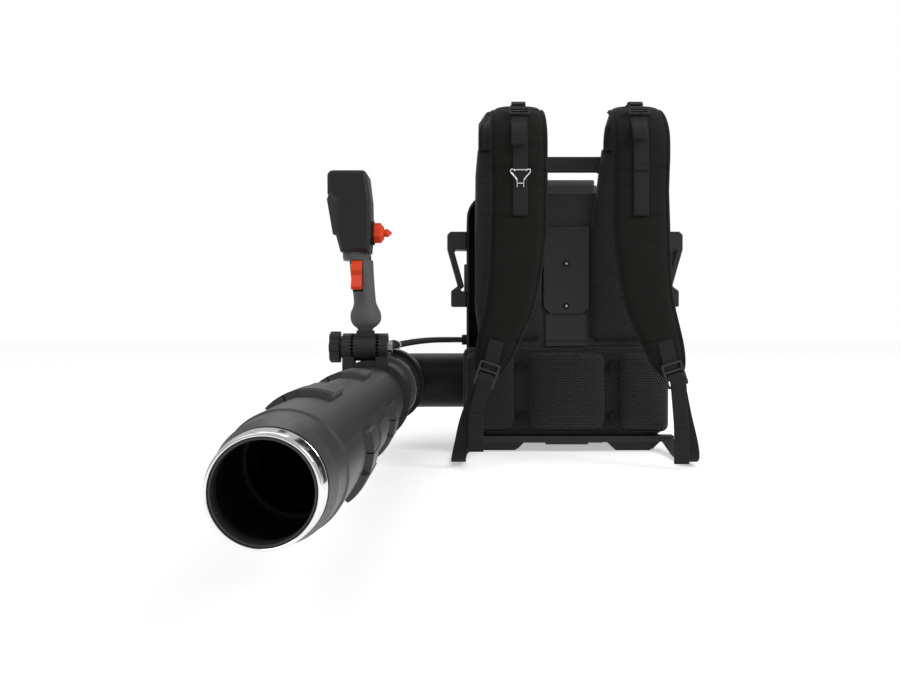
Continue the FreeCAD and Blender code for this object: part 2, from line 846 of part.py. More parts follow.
# Ribbed side vents over the windows
vent = slab("vent", "YZ", rectangle("vent_front", "vent_back", "vent_low", "vent_high"),
    "housing_half_width", "housing_half_width + vent_stand")
round_edges(vent, "vent_edges", "vent_stand / 3", at_level("x", "housing_half_width + vent_stand"))
slot_pitch = "((vent_high - vent_low - 2 * vent_rim) / vent_slots)"
slots = []
for number in range(int(val("vent_slots"))):
    bottom = f"vent_low + vent_rim + {slot_pitch} * ({number} + 0.5 - vent_slot_share / 2)"
    slots.append(rectangle("vent_front + vent_rim", "vent_back - vent_rim", bottom,
        f"{bottom} + {slot_pitch} * vent_slot_share"))
sink_outline(vent, "vent_slot", "YZ", slots, "housing_half_width - 1", "housing_half_width + vent_stand + 1")
both_sides("side_vents", vent)

# Side guards: an upper and a lower arm joined by a strut that curves inwards
guard_outer = "(housing_half_width + guard_reach)"
guard_low_outer = "(housing_half_width + guard_low_reach)"
guard_waist = "(housing_half_width + guard_waist_reach)"
guard_underside = "(guard_top - guard_top_thickness)"
guard_floor = "(guard_bottom + guard_bottom_thickness)"
guard = slab("guard", "XZ", [
    ("housing_half_width", "guard_top"), (f"{guard_outer} - guard_round", "guard_top"),
    (guard_outer, "guard_top - guard_round"), (guard_outer, guard_underside),
    (guard_waist, f"{guard_floor} + guard_waist_rise"),
    (guard_low_outer, guard_floor), (guard_low_outer, "guard_bottom"),
    ("housing_half_width", "guard_bottom"), ("housing_half_width", guard_floor),
    (f"{guard_low_outer} - guard_bar", guard_floor),
    (f"{guard_waist} - guard_bar", f"{guard_floor} + guard_waist_rise"),
    (f"{guard_outer} - guard_bar", guard_underside),
    ("housing_half_width", guard_underside)], "guard_front", "guard_front + guard_depth")
round_edges(guard, "guard_corners", "guard_round / 2", both(along("y"),
    beyond("x", "housing_half_width + 1")))
round_edges(guard, "guard_front_edges", "guard_round / 2", at_level("y", "guard_front"))
both_sides("side_guards", guard)

# Fan casing: a scroll whose radius grows from the tongue, over the top, to the outlet at the bottom
fan_axis = (0.0, val("fan_height"))
fan_middle = val("fan_centre")
half_depth = val("fan_half_depth")


def scroll_face(level, offset):
    """The scroll's outline in a plane square to Y, moved outwards by an offset."""
    steps = 16
    start_angle = SCROLL_START
    points = []
    for step in range(steps + 1):
        share = step / steps
        radius = val("scroll_start") + (val("scroll_end") - val("scroll_start")) * share + offset
        turn = math.radians(start_angle - val("scroll_turn") * share)
        points.append(V(fan_axis[0] + radius * math.cos(turn), level, fan_axis[1] + radius * math.sin(turn)))
    spiral = Part.BSplineCurve()
    spiral.interpolate(points)
    duct_end = -val("duct_end")
    roof = val("tube_height") + half_depth + offset
    floor = points[-1].z
    corners = [points[-1], V(duct_end, level, floor), V(duct_end, level, roof), V(points[0].x, level, roof),
        points[0]]
    edges = [spiral.toShape()]
    edges += [Part.LineSegment(a, b).toShape() for a, b in zip(corners, corners[1:])]
    return Part.Face(Part.Wire(edges))


def fan_casing(offset, pipe_radius, pipe_end):
    """The scroll and its outlet pipe as one solid, moved outwards by an offset."""
    body = scroll_face(fan_middle - half_depth - offset, offset).extrude(V(0, 2 * (half_depth + offset), 0))
    pipe = Part.makeCylinder(pipe_radius, pipe_end - val("duct_end") + 1,
        V(-pipe_end, fan_middle, val("tube_height")), V(1, 0, 0))
    return body.fuse(pipe)


collar_bore = val("elbow_radius + moving_gap")
collar_end = val("housing_half_width")
casing = fan_casing(val("scroll_wall"), collar_bore + val("collar_wall"), collar_end)
casing = casing.cut(fan_casing(0, half_depth - 2, val("elbow_insert")))
casing = casing.cut(Part.makeCylinder(collar_bore, collar_end,
    V(-collar_end - val("elbow_insert") + 1, fan_middle,
    val("tube_height")), V(1, 0, 0)))
casing = casing.cut(Part.makeCylinder(val("inlet_radius"), half_depth,
    V(0, fan_middle - 2 * half_depth, fan_axis[1]),
    V(0, 1, 0)))
casing = casing.cut(Part.makeCylinder(val("bearing_radius"), half_depth,
    V(0, fan_middle + half_depth, fan_axis[1]),
    V(0, 1, 0)).translate(V(0, -1, 0)))
seat_depth = val("bearing_width") + 2
seat_start = fan_middle + half_depth - 2
seat = Part.makeCylinder(val("bearing_radius") + val("scroll_wall"), seat_depth,
    V(0, seat_start, fan_axis[1]), V(0, 1, 0))
casing = casing.fuse(seat)
casing = casing.cut(Part.makeCylinder(val("bearing_radius"), seat_depth, V(0, seat_start, fan_axis[1]),
    V(0, 1, 0)))


def screw_place(number):
    """The place of a casing screw on a circle of ears outside the scroll."""
    share = (number + 0.5) / val("casing_screws")
    radius = (val("scroll_start") + (val("scroll_end") - val("scroll_start")) * share
        + val("scroll_wall + casing_screw_head + moving_gap"))
    turn = math.radians(SCROLL_START - val("scroll_turn") * share)
    return radius * math.cos(turn), fan_axis[1] + radius * math.sin(turn)


inner_casing = fan_casing(0, half_depth - 2, val("elbow_insert"))
ear_depth = 2 * val("casing_ear_radius")
casing_screw_list = []
for number in range(int(val("casing_screws"))):
    across, up = screw_place(number)
    ear = Part.makeCylinder(val("casing_ear_radius"), ear_depth, V(across, fan_middle - ear_depth / 2, up),
        V(0, 1, 0))
    casing = casing.fuse(ear.cut(inner_casing))
    hole = Part.makeCylinder(val("casing_screw_radius"), ear_depth, V(across, fan_middle - ear_depth / 2, up),
        V(0, 1, 0))
    casing = casing.cut(hole)
    head = Part.makeCylinder(val("casing_screw_head"), val("casing_screw_head_height"),
        V(across, fan_middle - ear_depth / 2 - val("casing_screw_head_height"), up), V(0, 1, 0))
    casing_screw_list.append(hole.fuse(head).removeSplitter())
reach = 2 * val("housing_half_width")
front_half = Part.makeBox(2 * reach, reach, 2 * reach, V(-reach, fan_middle - reach, fan_axis[1] - reach))
back_half = Part.makeBox(2 * reach, reach, 2 * reach, V(-reach, fan_middle, fan_axis[1] - reach))
keep(shaped("casing_front", casing.common(front_half)), "fan_casing_front")
keep(shaped("casing_back", casing.common(back_half)), "fan_casing_back")
keep(group("screw_set", shaped("casing_screw_set", Part.makeCompound(casing_screw_list)), *spine_screws),
    "housing_screws")

# Inlet grille on the casing's front: rings on radial bars
casing_front = "fan_centre - fan_half_depth - scroll_wall"
grille_front = f"{casing_front} - grille_thickness"
ring_start = val("grille_hub")
ring_step = (val("inlet_radius") - ring_start) / val("grille_rings")
front_y = val(grille_front)
thickness = val("grille_thickness")


def grille_ring(inner, outer):
    outside = Part.makeCylinder(outer, thickness, V(0, front_y, fan_axis[1]), V(0, 1, 0))
    return outside.cut(Part.makeCylinder(inner, thickness, V(0, front_y, fan_axis[1]), V(0, 1, 0)))


grille_parts = [Part.makeCylinder(ring_start, thickness, V(0, front_y, fan_axis[1]), V(0, 1, 0)),
    grille_ring(val("inlet_radius"), val("inlet_radius + grille_rim"))]
for number in range(1, int(val("grille_rings"))):
    radius = ring_start + ring_step * number
    grille_parts.append(grille_ring(radius - val("grille_bar") / 2, radius + val("grille_bar") / 2))
for number in range(int(val("grille_bars"))):
    bar = Part.makeBox(val("inlet_radius") - ring_start + 2, thickness, val("grille_bar"),
        V(ring_start - 1, front_y, fan_axis[1] - val("grille_bar") / 2))
    bar.rotate(V(0, front_y, fan_axis[1]), V(0, 1, 0), 360 / val("grille_bars") * number)
    grille_parts.append(bar)
keep(shaped("grille", grille_parts[0].fuse(grille_parts[1:]).removeSplitter()), "inlet_grille")

# Impeller: backward-swept blades between a back plate and a front ring, on a hub
fan_front = fan_middle - half_depth + val("impeller_side_gap")
fan_back = fan_middle + half_depth - val("impeller_side_gap")


def polar(radius, degrees, level=0.0):
    turn = math.radians(degrees)
    return V(radius * math.cos(turn), level, fan_axis[1] + radius * math.sin(turn))


def blade(number):
    """One blade: two arcs of a swept line, a blade's thickness apart."""
    inner, outer = val("blade_inner"), val("impeller_radius") - 1
    start = 360 / val("blade_count") * number
    level = fan_front + val("impeller_plate") / 2
    sides = []
    for half in (-0.5, 0.5):
        points = []
        for share in (0, 0.5, 1):
            radius = inner + (outer - inner) * share
            shift = math.degrees(half * val("blade_thickness") / radius)
            points.append(polar(radius, start + val("blade_sweep") * share ** 1.3 + shift, level))
        sides.append(points)
    edges = [Part.Arc(*sides[0]).toShape(), Part.LineSegment(sides[0][2], sides[1][2]).toShape(),
        Part.Arc(*sides[1]).toShape(), Part.LineSegment(sides[1][0], sides[0][0]).toShape()]
    face = Part.Face(Part.Wire(Part.sortEdges(edges)[0]))
    return face.extrude(V(0, fan_back - fan_front - val("impeller_plate"), 0))


def fan_disc(radius, start, length):
    return Part.makeCylinder(radius, length, V(0, start, fan_axis[1]), V(0, 1, 0))


plate_thickness = val("impeller_plate")
hub_start = fan_back - val("impeller_side_gap") * 4
rotor = fan_disc(val("impeller_radius"), fan_back - plate_thickness, plate_thickness)
rotor = rotor.fuse(fan_disc(val("impeller_hub"), hub_start, fan_back - hub_start))
front_ring = fan_disc(val("impeller_radius"), fan_front, plate_thickness)
rotor = rotor.fuse(front_ring.cut(fan_disc(val("impeller_eye"), fan_front, plate_thickness)))
rotor = rotor.fuse([blade(number) for number in range(int(val("blade_count")))])
rotor = rotor.cut(fan_disc(val("shaft_radius"), hub_start, fan_back - hub_start))
keep(shaped("impeller_shape", rotor.removeSplitter()), "impeller")
nut = doc.addObject("Part::Prism", "impeller_nut_hex")
nut.Polygon = 6
bind(nut, "Circumradius", "nut_radius")
bind(nut, "Height", "nut_height")
place(nut, ("0", "fan_centre + fan_half_depth - 5 * impeller_side_gap - nut_height", "fan_height"),
    FROM_Z["y"])
nut_hole = rod("impeller_nut_hole", "y", ("0", "fan_centre", "fan_height"), "shaft_radius", "fan_half_depth")
keep(cut("impeller_nut_shape", nut, nut_hole), "impeller_nut")

# Motor behind the casing: housing, stator, rotor with its shaft, and two bearings
casing_back = "(fan_centre + fan_half_depth + scroll_wall)"
motor_back = "(housing_back - housing_wall)"
seat_inner = "(bearing_radius + motor_wall)"
keep(turned("motor_can", "y", ("0", "0", "fan_height"), [
    ("motor_radius", casing_back), ("motor_radius", motor_back), ("bearing_radius - motor_wall", motor_back),
    ("bearing_radius - motor_wall", f"{motor_back} - motor_wall / 2"),
    ("bearing_radius", f"{motor_back} - motor_wall / 2"),
    ("bearing_radius", f"{motor_back} - motor_wall / 2 - bearing_width"),
    (seat_inner, f"{motor_back} - motor_wall / 2 - bearing_width"),
    (seat_inner, f"{motor_back} - motor_wall"),
    ("motor_radius - motor_wall", f"{motor_back} - motor_wall"), ("motor_radius - motor_wall", casing_back)]),
    "motor_housing")
STATOR_SLOTS = 12
drum_front = f"({casing_back} + bearing_width - 1.5)"
stator = fan_disc(val("motor_radius - motor_wall"), val(drum_front), val("stator_length"))
stator = stator.cut(fan_disc(val("stator_bore"), val(drum_front), val("stator_length")))
for number in range(STATOR_SLOTS):
    slot = Part.makeBox(val("stator_bore") * 0.45, val("stator_length"), 4,
        V(val("stator_bore") - 1, val(drum_front), fan_axis[1] - 2))
    slot.rotate(V(0, 0, fan_axis[1]), V(0, 1, 0), 360 / STATOR_SLOTS * number)
    stator = stator.cut(slot)
keep(shaped("stator", stator), "motor_stator")
shaft_end = f"({motor_back} - motor_wall / 2 - moving_gap)"
shaft_start = "(fan_centre + fan_half_depth - 5 * impeller_side_gap - nut_height - shaft_front_stub / 4)"
drum_back = f"({drum_front} + rotor_length)"
keep(turned("rotor", "y", ("0", "0", "fan_height"), [
    ("0", shaft_start), ("shaft_radius", shaft_start), ("shaft_radius", drum_front),
    ("rotor_radius", drum_front),
    ("rotor_radius", drum_back), ("shaft_radius", drum_back), ("shaft_radius", shaft_end), ("0", shaft_end)]),
    "motor_rotor")
bearings = []
for word, start in (("front", "fan_centre + fan_half_depth - 1"),
        ("back", f"{motor_back} - motor_wall / 2 - bearing_width")):
    ring = rod(f"bearing_{word}", "y", ("0", start, "fan_height"), "bearing_radius", "bearing_width")
    bore = rod(f"bearing_{word}_bore", "y", ("0", start, "fan_height"), "shaft_radius + shaft_gap",
        "bearing_width")
    bearings.append(cut(f"bearing_{word}_ring", ring, bore))
keep(group("bearings", *bearings), "shaft_bearings")

# Motor controller with its cooling fins, on the housing's back wall
control_top = "(controller_bottom + controller_height)"
controller = slab("controller", "XZ", rectangle("-controller_half_width", "controller_half_width",
    "controller_bottom",
    control_top), f"{motor_back} - controller_depth", motor_back)
fins = []
for number in range(int(val("controller_fins"))):
    left = f"-controller_half_width + (2 * controller_half_width - fin_thickness) / (controller_fins - 1) * {number}"
    fins.append(rectangle(left, f"{left} + fin_thickness", f"{control_top} - 1",
        f"{control_top} + fin_height"))
raise_outline(controller, "fin", "XZ", fins, f"{motor_back} - controller_depth", motor_back)
keep(controller, "motor_controller")

# Battery bay: an open-topped tray on the housing's back, bridged near its top
bay_back = "(housing_back + bay_depth)"
bay_in = "(bay_half_width - bay_wall)"
bay = slab("bay", "XY", mirrored_corners([
    ("bay_half_width", "housing_back"), ("bay_half_width", bay_back),
    ("bay_half_width - bay_wall - bay_lip", bay_back),
    ("bay_half_width - bay_wall - bay_lip", f"{bay_back} - bay_wall"), (bay_in, f"{bay_back} - bay_wall"),
    (bay_in, "housing_back + bay_wall")]), "bay_bottom", "bay_top")
raise_outline(bay, "bay_floor", "XY", [rectangle(f"-{bay_in} - 1", f"{bay_in} + 1", "housing_back + 1",
    f"{bay_back} - 1")],
    "bay_bottom", "bay_bottom + bay_wall")
raise_outline(bay, "bay_bridge", "XZ", [rectangle(f"-{bay_in}", bay_in, "bay_top - bay_bridge_height",
    "bay_top")],
    f"{bay_back} - bay_wall", bay_back)
latch_bottom = "(bay_top - bay_bridge_height / 2 - latch_height / 2)"
sink_outline(bay, "latch_window", "XZ", [rectangle(
    "-latch_half_width - moving_gap", "latch_half_width + moving_gap", f"{latch_bottom} - moving_gap",
    f"{latch_bottom} + latch_height + moving_gap")], f"{bay_back} - bay_wall - 1", f"{bay_back} + 1")
keep(bay, "battery_bay")
latch = slab("latch", "XZ", rectangle("-latch_half_width", "latch_half_width", latch_bottom,
    f"{latch_bottom} + latch_height"),
    f"{bay_back} - bay_wall / 2", f"{bay_back} + latch_proud")
round_edges(latch, "latch_edges", "latch_proud / 3", at_level("y", f"{bay_back} + latch_proud"))
keep(latch, "battery_latch")

# Battery: case, and cap with its grip
cell_half = f"({bay_in} - slide_gap)"
cell_front = "(housing_back + bay_wall + slide_gap)"
cell_back = f"({bay_back} - bay_wall - slide_gap)"
cell_middle = f"(({cell_front} + {cell_back}) / 2)"
cap_bottom = "(battery_top - battery_cap_height)"
battery = slab("battery", "XY", rectangle(f"-{cell_half}", cell_half, cell_front, cell_back),
    "bay_bottom + bay_wall + slide_gap", cap_bottom)
round_edges(battery, "battery_corners", "battery_round", along("z"))
sink_outline(battery, "terminal_slot", "XY", [rectangle(
    "-2 * terminal_pitch", "2 * terminal_pitch", f"{cell_middle} - terminal_half_length - 3",
    f"{cell_middle} + terminal_half_length + 3")], "bay_bottom",
    "bay_bottom + bay_wall + terminal_height + 3")
keep(battery, "battery_case")
cap = slab("cap", "XY", rectangle(f"-{cell_half}", cell_half, cell_front, cell_back), cap_bottom,
    "battery_top")
round_edges(cap, "cap_corners", "battery_round", along("z"))
grip_top = "battery_top + battery_grip_height"
raise_outline(cap, "battery_grip", "XZ", [mirrored_corners([
    ("battery_grip_half_width", "battery_top - 1"), ("battery_grip_half_width", grip_top)])],
    f"{cell_middle} - battery_grip_depth / 2", f"{cell_middle} + battery_grip_depth / 2")
sink_outline(cap, "battery_grip_gap", "XZ", [rectangle(
    "-battery_grip_half_width + battery_grip_bar", "battery_grip_half_width - battery_grip_bar",
    "battery_top",
    f"{grip_top} - battery_grip_bar / 2")], cell_front, cell_back)
round_edges(cap, "cap_edges", "battery_grip_bar / 5", both(at_level("z", grip_top), lambda edge: True))
keep(cap, "battery_cap")
keep(group("terminals", *(box(f"terminal_{number}", (
    f"terminal_pitch * {number - 1} - terminal_thickness / 2",
    f"terminal_pitch * {number - 1} + terminal_thickness / 2"),
    (f"{cell_middle} - terminal_half_length", f"{cell_middle} + terminal_half_length"),
    ("bay_bottom + bay_wall", "bay_bottom + bay_wall + terminal_height")) for number in range(3))),
    "battery_terminals")

# Elbow: from the casing's outlet sideways, then forwards into its thick cuff
tube_x = -val("tube_side")
tube_z = val("tube_height")


def elbow_sweep(radius):
    bend = val("elbow_bend")
    start = V(-val("elbow_insert"), fan_middle, tube_z)
    bend_start = V(tube_x + bend, fan_middle, tube_z)
    bend_end = V(tube_x, fan_middle - bend, tube_z)
    middle = V(tube_x + bend * (1 - math.sin(math.radians(45))),
        fan_middle - bend * (1 - math.sin(math.radians(45))), tube_z)
    end = V(tube_x, val("cuff_back") - 1, tube_z)
    path = Part.Wire([Part.LineSegment(start, bend_start).toShape(),
        Part.Arc(bend_start, middle, bend_end).toShape(),
        Part.LineSegment(bend_end, end).toShape()])
    circle = Part.Wire([Part.Circle(start, V(-1, 0, 0), radius).toShape()])
    return path.makePipeShell([circle], True, False)


def ring_solid(profile):
    """A turned ring on the tube's axis from pairs of radius and place along Y."""
    points = [V(tube_x + radius, along_y, tube_z) for radius, along_y in profile]
    face = Part.Face(Part.makePolygon(points + points[:1]))
    return face.revolve(V(tube_x, 0, tube_z), V(0, 1, 0), 360)


bore_radius = val("elbow_radius - elbow_wall")
cuff_back, cuff_front, cuff_radius = val("cuff_back"), val("cuff_front"), val("cuff_radius")
slope, chamfer = val("cuff_slope"), val("cuff_chamfer")
cuff = ring_solid([(0, cuff_back), (cuff_radius - slope, cuff_back), (cuff_radius, cuff_back - slope),
    (cuff_radius, cuff_front + chamfer), (cuff_radius - chamfer, cuff_front), (0, cuff_front)])
elbow = elbow_sweep(val("elbow_radius")).fuse(cuff)
elbow = elbow.cut(elbow_sweep(bore_radius))
elbow = elbow.cut(Part.makeCylinder(bore_radius, cuff_back - cuff_front + 2, V(tube_x, cuff_back + 1, tube_z),
    V(0, -1, 0)))
keep(shaped("elbow", elbow.removeSplitter()), "elbow_pipe")
seal_bore = "elbow_radius + moving_gap"
keep(turned("seal", "x", ("-housing_half_width - seal_thickness", "fan_centre", "tube_height"), [
    (seal_bore, "0"), ("seal_radius - 1", "0"), ("seal_radius", "1"), ("seal_radius", "seal_thickness"),
    (seal_bore, "seal_thickness")]), "elbow_seal")

# Bellows: a flange against the cuff, folds, and a sleeve under the clamp
fold_start = "(cuff_front - bellows_flange_width)"
fold_end = f"({fold_start} - bellows_length)"
sleeve_inner = "(sleeve_radius + moving_gap)"
rib_pitch = val("bellows_length") / val("bellows_ribs")
outer_line = [(val("bellows_flange"), cuff_front), (val("bellows_flange"), val(fold_start))]
inner_line = [(bore_radius, cuff_front)]
wall = val("bellows_wall")
for number in range(int(val("bellows_ribs"))):
    back = val(fold_start) - rib_pitch * number
    valley, crest = val("bellows_inner"), val("bellows_outer")
    for share, radius in ((0.1, valley), (0.38, crest), (0.72, crest), (0.98, valley)):
        outer_line.append((radius, back - rib_pitch * share))
        inner_line.append((radius - wall, back - rib_pitch * share))
last = val(fold_end)
sleeve_front = last - val("bellows_sleeve")
outer_line += [(val(sleeve_inner) + wall, last - 1), (val(sleeve_inner) + wall, sleeve_front)]
inner_line += [(val("bellows_inner") - wall, last - 3), (val(sleeve_inner), last - 3),
    (val(sleeve_inner), sleeve_front)]
keep(shaped("bellows_shape", ring_solid(outer_line + list(reversed(inner_line)))), "bellows")

# Turning sleeve in front of the bellows, and the band clamp round the bellows' sleeve
cuff_start = f"({fold_end} - 3.5)"
cuff_end = f"({cuff_start} - sleeve_length)"
turn_bore = "(tube_radius + moving_gap)"
tube_at = ("-tube_side", "0", "tube_height")
keep(turned("sleeve", "y", tube_at, [
    (turn_bore, cuff_start), ("sleeve_radius", cuff_start), ("sleeve_radius",
    f"{cuff_end} + sleeve_flange_width"),
    ("sleeve_flange", f"{cuff_end} + sleeve_flange_width"), ("sleeve_flange", f"{cuff_end} + 1"),
    ("sleeve_flange - 1", cuff_end), (turn_bore, cuff_end)]), "turning_sleeve")
band_inner = f"({sleeve_inner} + bellows_wall + moving_gap)"
band_front = f"({fold_end} - bellows_sleeve + 2)"
band = turned("band", "y", tube_at, [
    (band_inner, band_front), (f"{band_inner} + clamp_thickness", band_front),
    (f"{band_inner} + clamp_thickness", f"{band_front} + clamp_width"),
    (band_inner, f"{band_front} + clamp_width")])
box_base = f"tube_height + {band_inner} + clamp_thickness / 2"
clamp_case = box("clamp_case", ("-tube_side - clamp_box / 2", "-tube_side + clamp_box / 2"),
    (band_front, f"{band_front} + clamp_width"), (box_base, f"{box_base} + clamp_screw_radius * 2"))
clamp_screw = rod("clamp_screw", "x", ("-tube_side - clamp_screw_length / 2",
    f"{band_front} + clamp_width / 2",
    f"{box_base} + clamp_screw_radius"), "clamp_screw_radius * 0.8", "clamp_screw_length")
keep(fuse("band_with_screw", band, clamp_case, clamp_screw), "band_clamp")

# Tube sections. Each socket has hollow blocks whose channels take the next section's pins
bore = "(tube_radius - tube_wall)"
plug = f"({bore} - moving_gap)"
plug_bore = f"({plug} - tube_wall)"


def socket_blocks(body, name, mouth):
    """Raised blocks round a socket that starts at its mouth, with the channels inside them."""
    back = f"{mouth} + block_length"
    low = "tube_radius - 1"
    block = sector(body, name + "_block", [
        (low, back), (low, f"{mouth} + 2"), ("block_radius - 2", f"{mouth} + 2"),
        ("block_radius", f"{mouth} + 5"),
        ("block_radius", f"{back} - block_ramp")], "block_angle", "block_tilt")
    thirds(body, name + "_block", block)
    for step in (0, 1):
        rib = sector(body, f"{name}_rib_{step}", [
            (low, f"{mouth} + rib_block_length + 12"), (low, f"{mouth} + 10"),
            ("rib_block_radius", f"{mouth} + 12"),
            ("rib_block_radius", f"{mouth} + rib_block_length + 8")], "rib_block_angle",
            f"rib_block_tilt + rib_block_step * {step}")
        thirds(body, f"{name}_rib_{step}", rib)
    channel_top = "block_radius - tube_wall"
    channel = sector(body, name + "_channel", [
        (f"{bore} - 1", f"{mouth} - 1"), (channel_top, f"{mouth} - 1"),
        (channel_top, f"{mouth} + socket_depth"),
        (f"{bore} - 1", f"{mouth} + socket_depth")], "channel_angle", "block_tilt", "PartDesign::Groove")
    thirds(body, name + "_channel", channel)


def plug_pins(body, name, mouth):
    """The three pins near the end of a plug, inside the socket that starts at this mouth."""
    middle = f"{mouth} + socket_depth - pin_back"
    pin = sector(body, name + "_pin", [
        (f"{plug} - 1", f"{middle} - pin_length / 2"), ("block_radius - tube_wall - moving_gap",
        f"{middle} - pin_length / 2"),
        ("block_radius - tube_wall - moving_gap", f"{middle} + pin_length / 2"),
        (f"{plug} - 1", f"{middle} + pin_length / 2")],
        "pin_angle", "block_tilt")
    thirds(body, name + "_pin", pin)
    start = f"{mouth} - moving_gap"
    lug = sector(body, name + "_lug", [
        ("tube_radius - 1", start), ("block_radius - 1", start),
        ("block_radius - 1", f"{start} - lug_length / 2"),
        ("tube_radius - 1", f"{start} - lug_length")], "block_angle", "block_tilt")
    thirds(body, name + "_lug", lug)


pipe_back = f"({cuff_start} - 3)"
stop_back = f"({cuff_end} - moving_gap)"
swivel = turned("swivel", "y", tube_at, [
    (bore, pipe_back), ("tube_radius", pipe_back), ("tube_radius", stop_back), ("tube_radius + 4", stop_back),
    ("tube_radius + 4", f"{stop_back} - 4"), ("tube_radius", f"{stop_back} - 5"),
    ("tube_radius", "swivel_mouth"),
    (bore, "swivel_mouth")])
socket_blocks(swivel, "swivel", "swivel_mouth")
keep(swivel, "swivel_pipe")


def plugged_profile(rear_mouth, rest):
    """The profile of a section whose back end is a plug in the socket that starts at rear_mouth."""
    start = f"({rear_mouth} - moving_gap)"
    return [(plug_bore, f"{rear_mouth} + socket_depth - 1"), (plug, f"{rear_mouth} + socket_depth - 1"),
        (plug, start),
        ("tube_radius", start)] + rest + [(bore, f"{start} - 8"), (plug_bore, f"{start} - 4")]


middle_pipe = turned("middle", "y", tube_at, plugged_profile("swivel_mouth", [("tube_radius", "mid_mouth"),
    (bore, "mid_mouth")]))
plug_pins(middle_pipe, "middle", "swivel_mouth")
socket_blocks(middle_pipe, "middle", "mid_mouth")
sector(middle_pipe, "plate", [
    ("tube_radius - 1", "plate_back"), ("tube_radius - 1", "plate_front"),
    ("plate_radius", "plate_front + 2"),
    ("plate_radius", "plate_back - 2")], "plate_angle", "plate_tilt")
keep(middle_pipe, "middle_pipe")
ring_bore = f"({bore} - inner_ring_height)"
front_pipe = turned("front", "y", tube_at, plugged_profile("mid_mouth", [
    ("tube_radius", "nozzle_shoulder"), ("tube_radius - shoulder_step",
    "nozzle_shoulder - 2 * shoulder_step"),
    ("tube_radius - 2 * shoulder_step", "nozzle_shoulder - 36"), ("nozzle_end_radius", "nozzle_ring_back"),
    ("nozzle_spigot", "nozzle_ring_back"), ("nozzle_spigot", "nozzle_ring_back - nozzle_spigot_length"),
    ("nozzle_spigot - 2", "nozzle_ring_back - nozzle_spigot_length"),
    ("nozzle_spigot - 2", "nozzle_ring_back"),
    ("tube_radius - 2 * shoulder_step - tube_wall", "nozzle_shoulder - 36"), (bore, "nozzle_shoulder"),
    (bore, "inner_ring_place - 5"), (ring_bore, "inner_ring_place - 5"), (ring_bore, "inner_ring_place"),
    (bore, "inner_ring_place")]))
plug_pins(front_pipe, "front", "mid_mouth")
keep(front_pipe, "front_pipe")
keep(turned("lip_ring", "y", tube_at, [
    ("nozzle_spigot", "nozzle_ring_back"), ("nozzle_end_radius - 0.5", "nozzle_ring_back"),
    ("nozzle_end_radius - 0.5", "nozzle_ring_back - 5"), ("nozzle_lip_radius", "nozzle_front + 1"),
    ("nozzle_lip_radius - 1", "nozzle_front"), ("nozzle_bore", "nozzle_front"),
    ("nozzle_bore", "nozzle_ring_back - nozzle_spigot_length"),
    ("nozzle_spigot", "nozzle_ring_back - nozzle_spigot_length")]),
    "nozzle_ring")

# The cable's chosen path, from the housing's gland to the handle bracket
gland_x = -val("housing_half_width + gland_length")
gland_y, gland_z = val("gland_place"), val("gland_height")
ROUTE = [V(gland_x, gland_y, gland_z), V(gland_x - 14, gland_y, gland_z),
    V(-242, -81, 200), V(-268, -98, 198), V(-288, -118, 195.2), V(-302, -142, 192.6), V(-306.5, -172, 192),
    V(-307.5, -208, 193.2), V(-304, -254, 196), V(-299, -290, 198), V(-296, -326, 199.6),
    V(-296.3, -362, 199.8), V(-299, -394, 198.8), V(-301.4, -424, 197.5)]
TIE_RUN = 5
SLEEVE_RUN = 7

# Handle bracket: a split ring on the tube with two ears whose inner faces are toothed
bracket_back = "(bracket_place + bracket_width / 2)"
bracket_front = "(bracket_place - bracket_width / 2)"
ear_tips = "(hub_half_width + moving_gap)"
ear_inner = f"({ear_tips} + tooth_height)"
ear_outer = f"({ear_inner} + ear_thickness)"
pivot = V(-val("pivot_side"), val("bracket_place"), val("pivot_height"))


def teeth(base, direction):
    """Radial teeth on a disc face square to X, with their tips towards the given direction."""
    inner, outer, height = val("tooth_inner"), val("hub_radius"), val("tooth_height")
    half_angle = 180 / val("tooth_count")
    solids = []
    for number in range(int(val("tooth_count"))):
        middle = 360 / val("tooth_count") * number
        loops = []
        for radius in (inner, outer):
            corners = []
            for angle, level in ((middle - half_angle, 0), (middle, height), (middle + half_angle, 0)):
                turn = math.radians(angle)
                corners.append(V(base + direction * level, pivot.y + radius * math.cos(turn),
                    pivot.z + radius * math.sin(turn)))
            loops.append(Part.makePolygon(corners + corners[:1]))
        solids.append(Part.makeLoft(loops, True, True))
    return solids


def across_rod(radius, start, length):
    """A cylinder on the pivot's axis from a distance beside the pivot."""
    return Part.makeCylinder(radius, length, V(pivot.x + start, pivot.y, pivot.z), V(1, 0, 0))


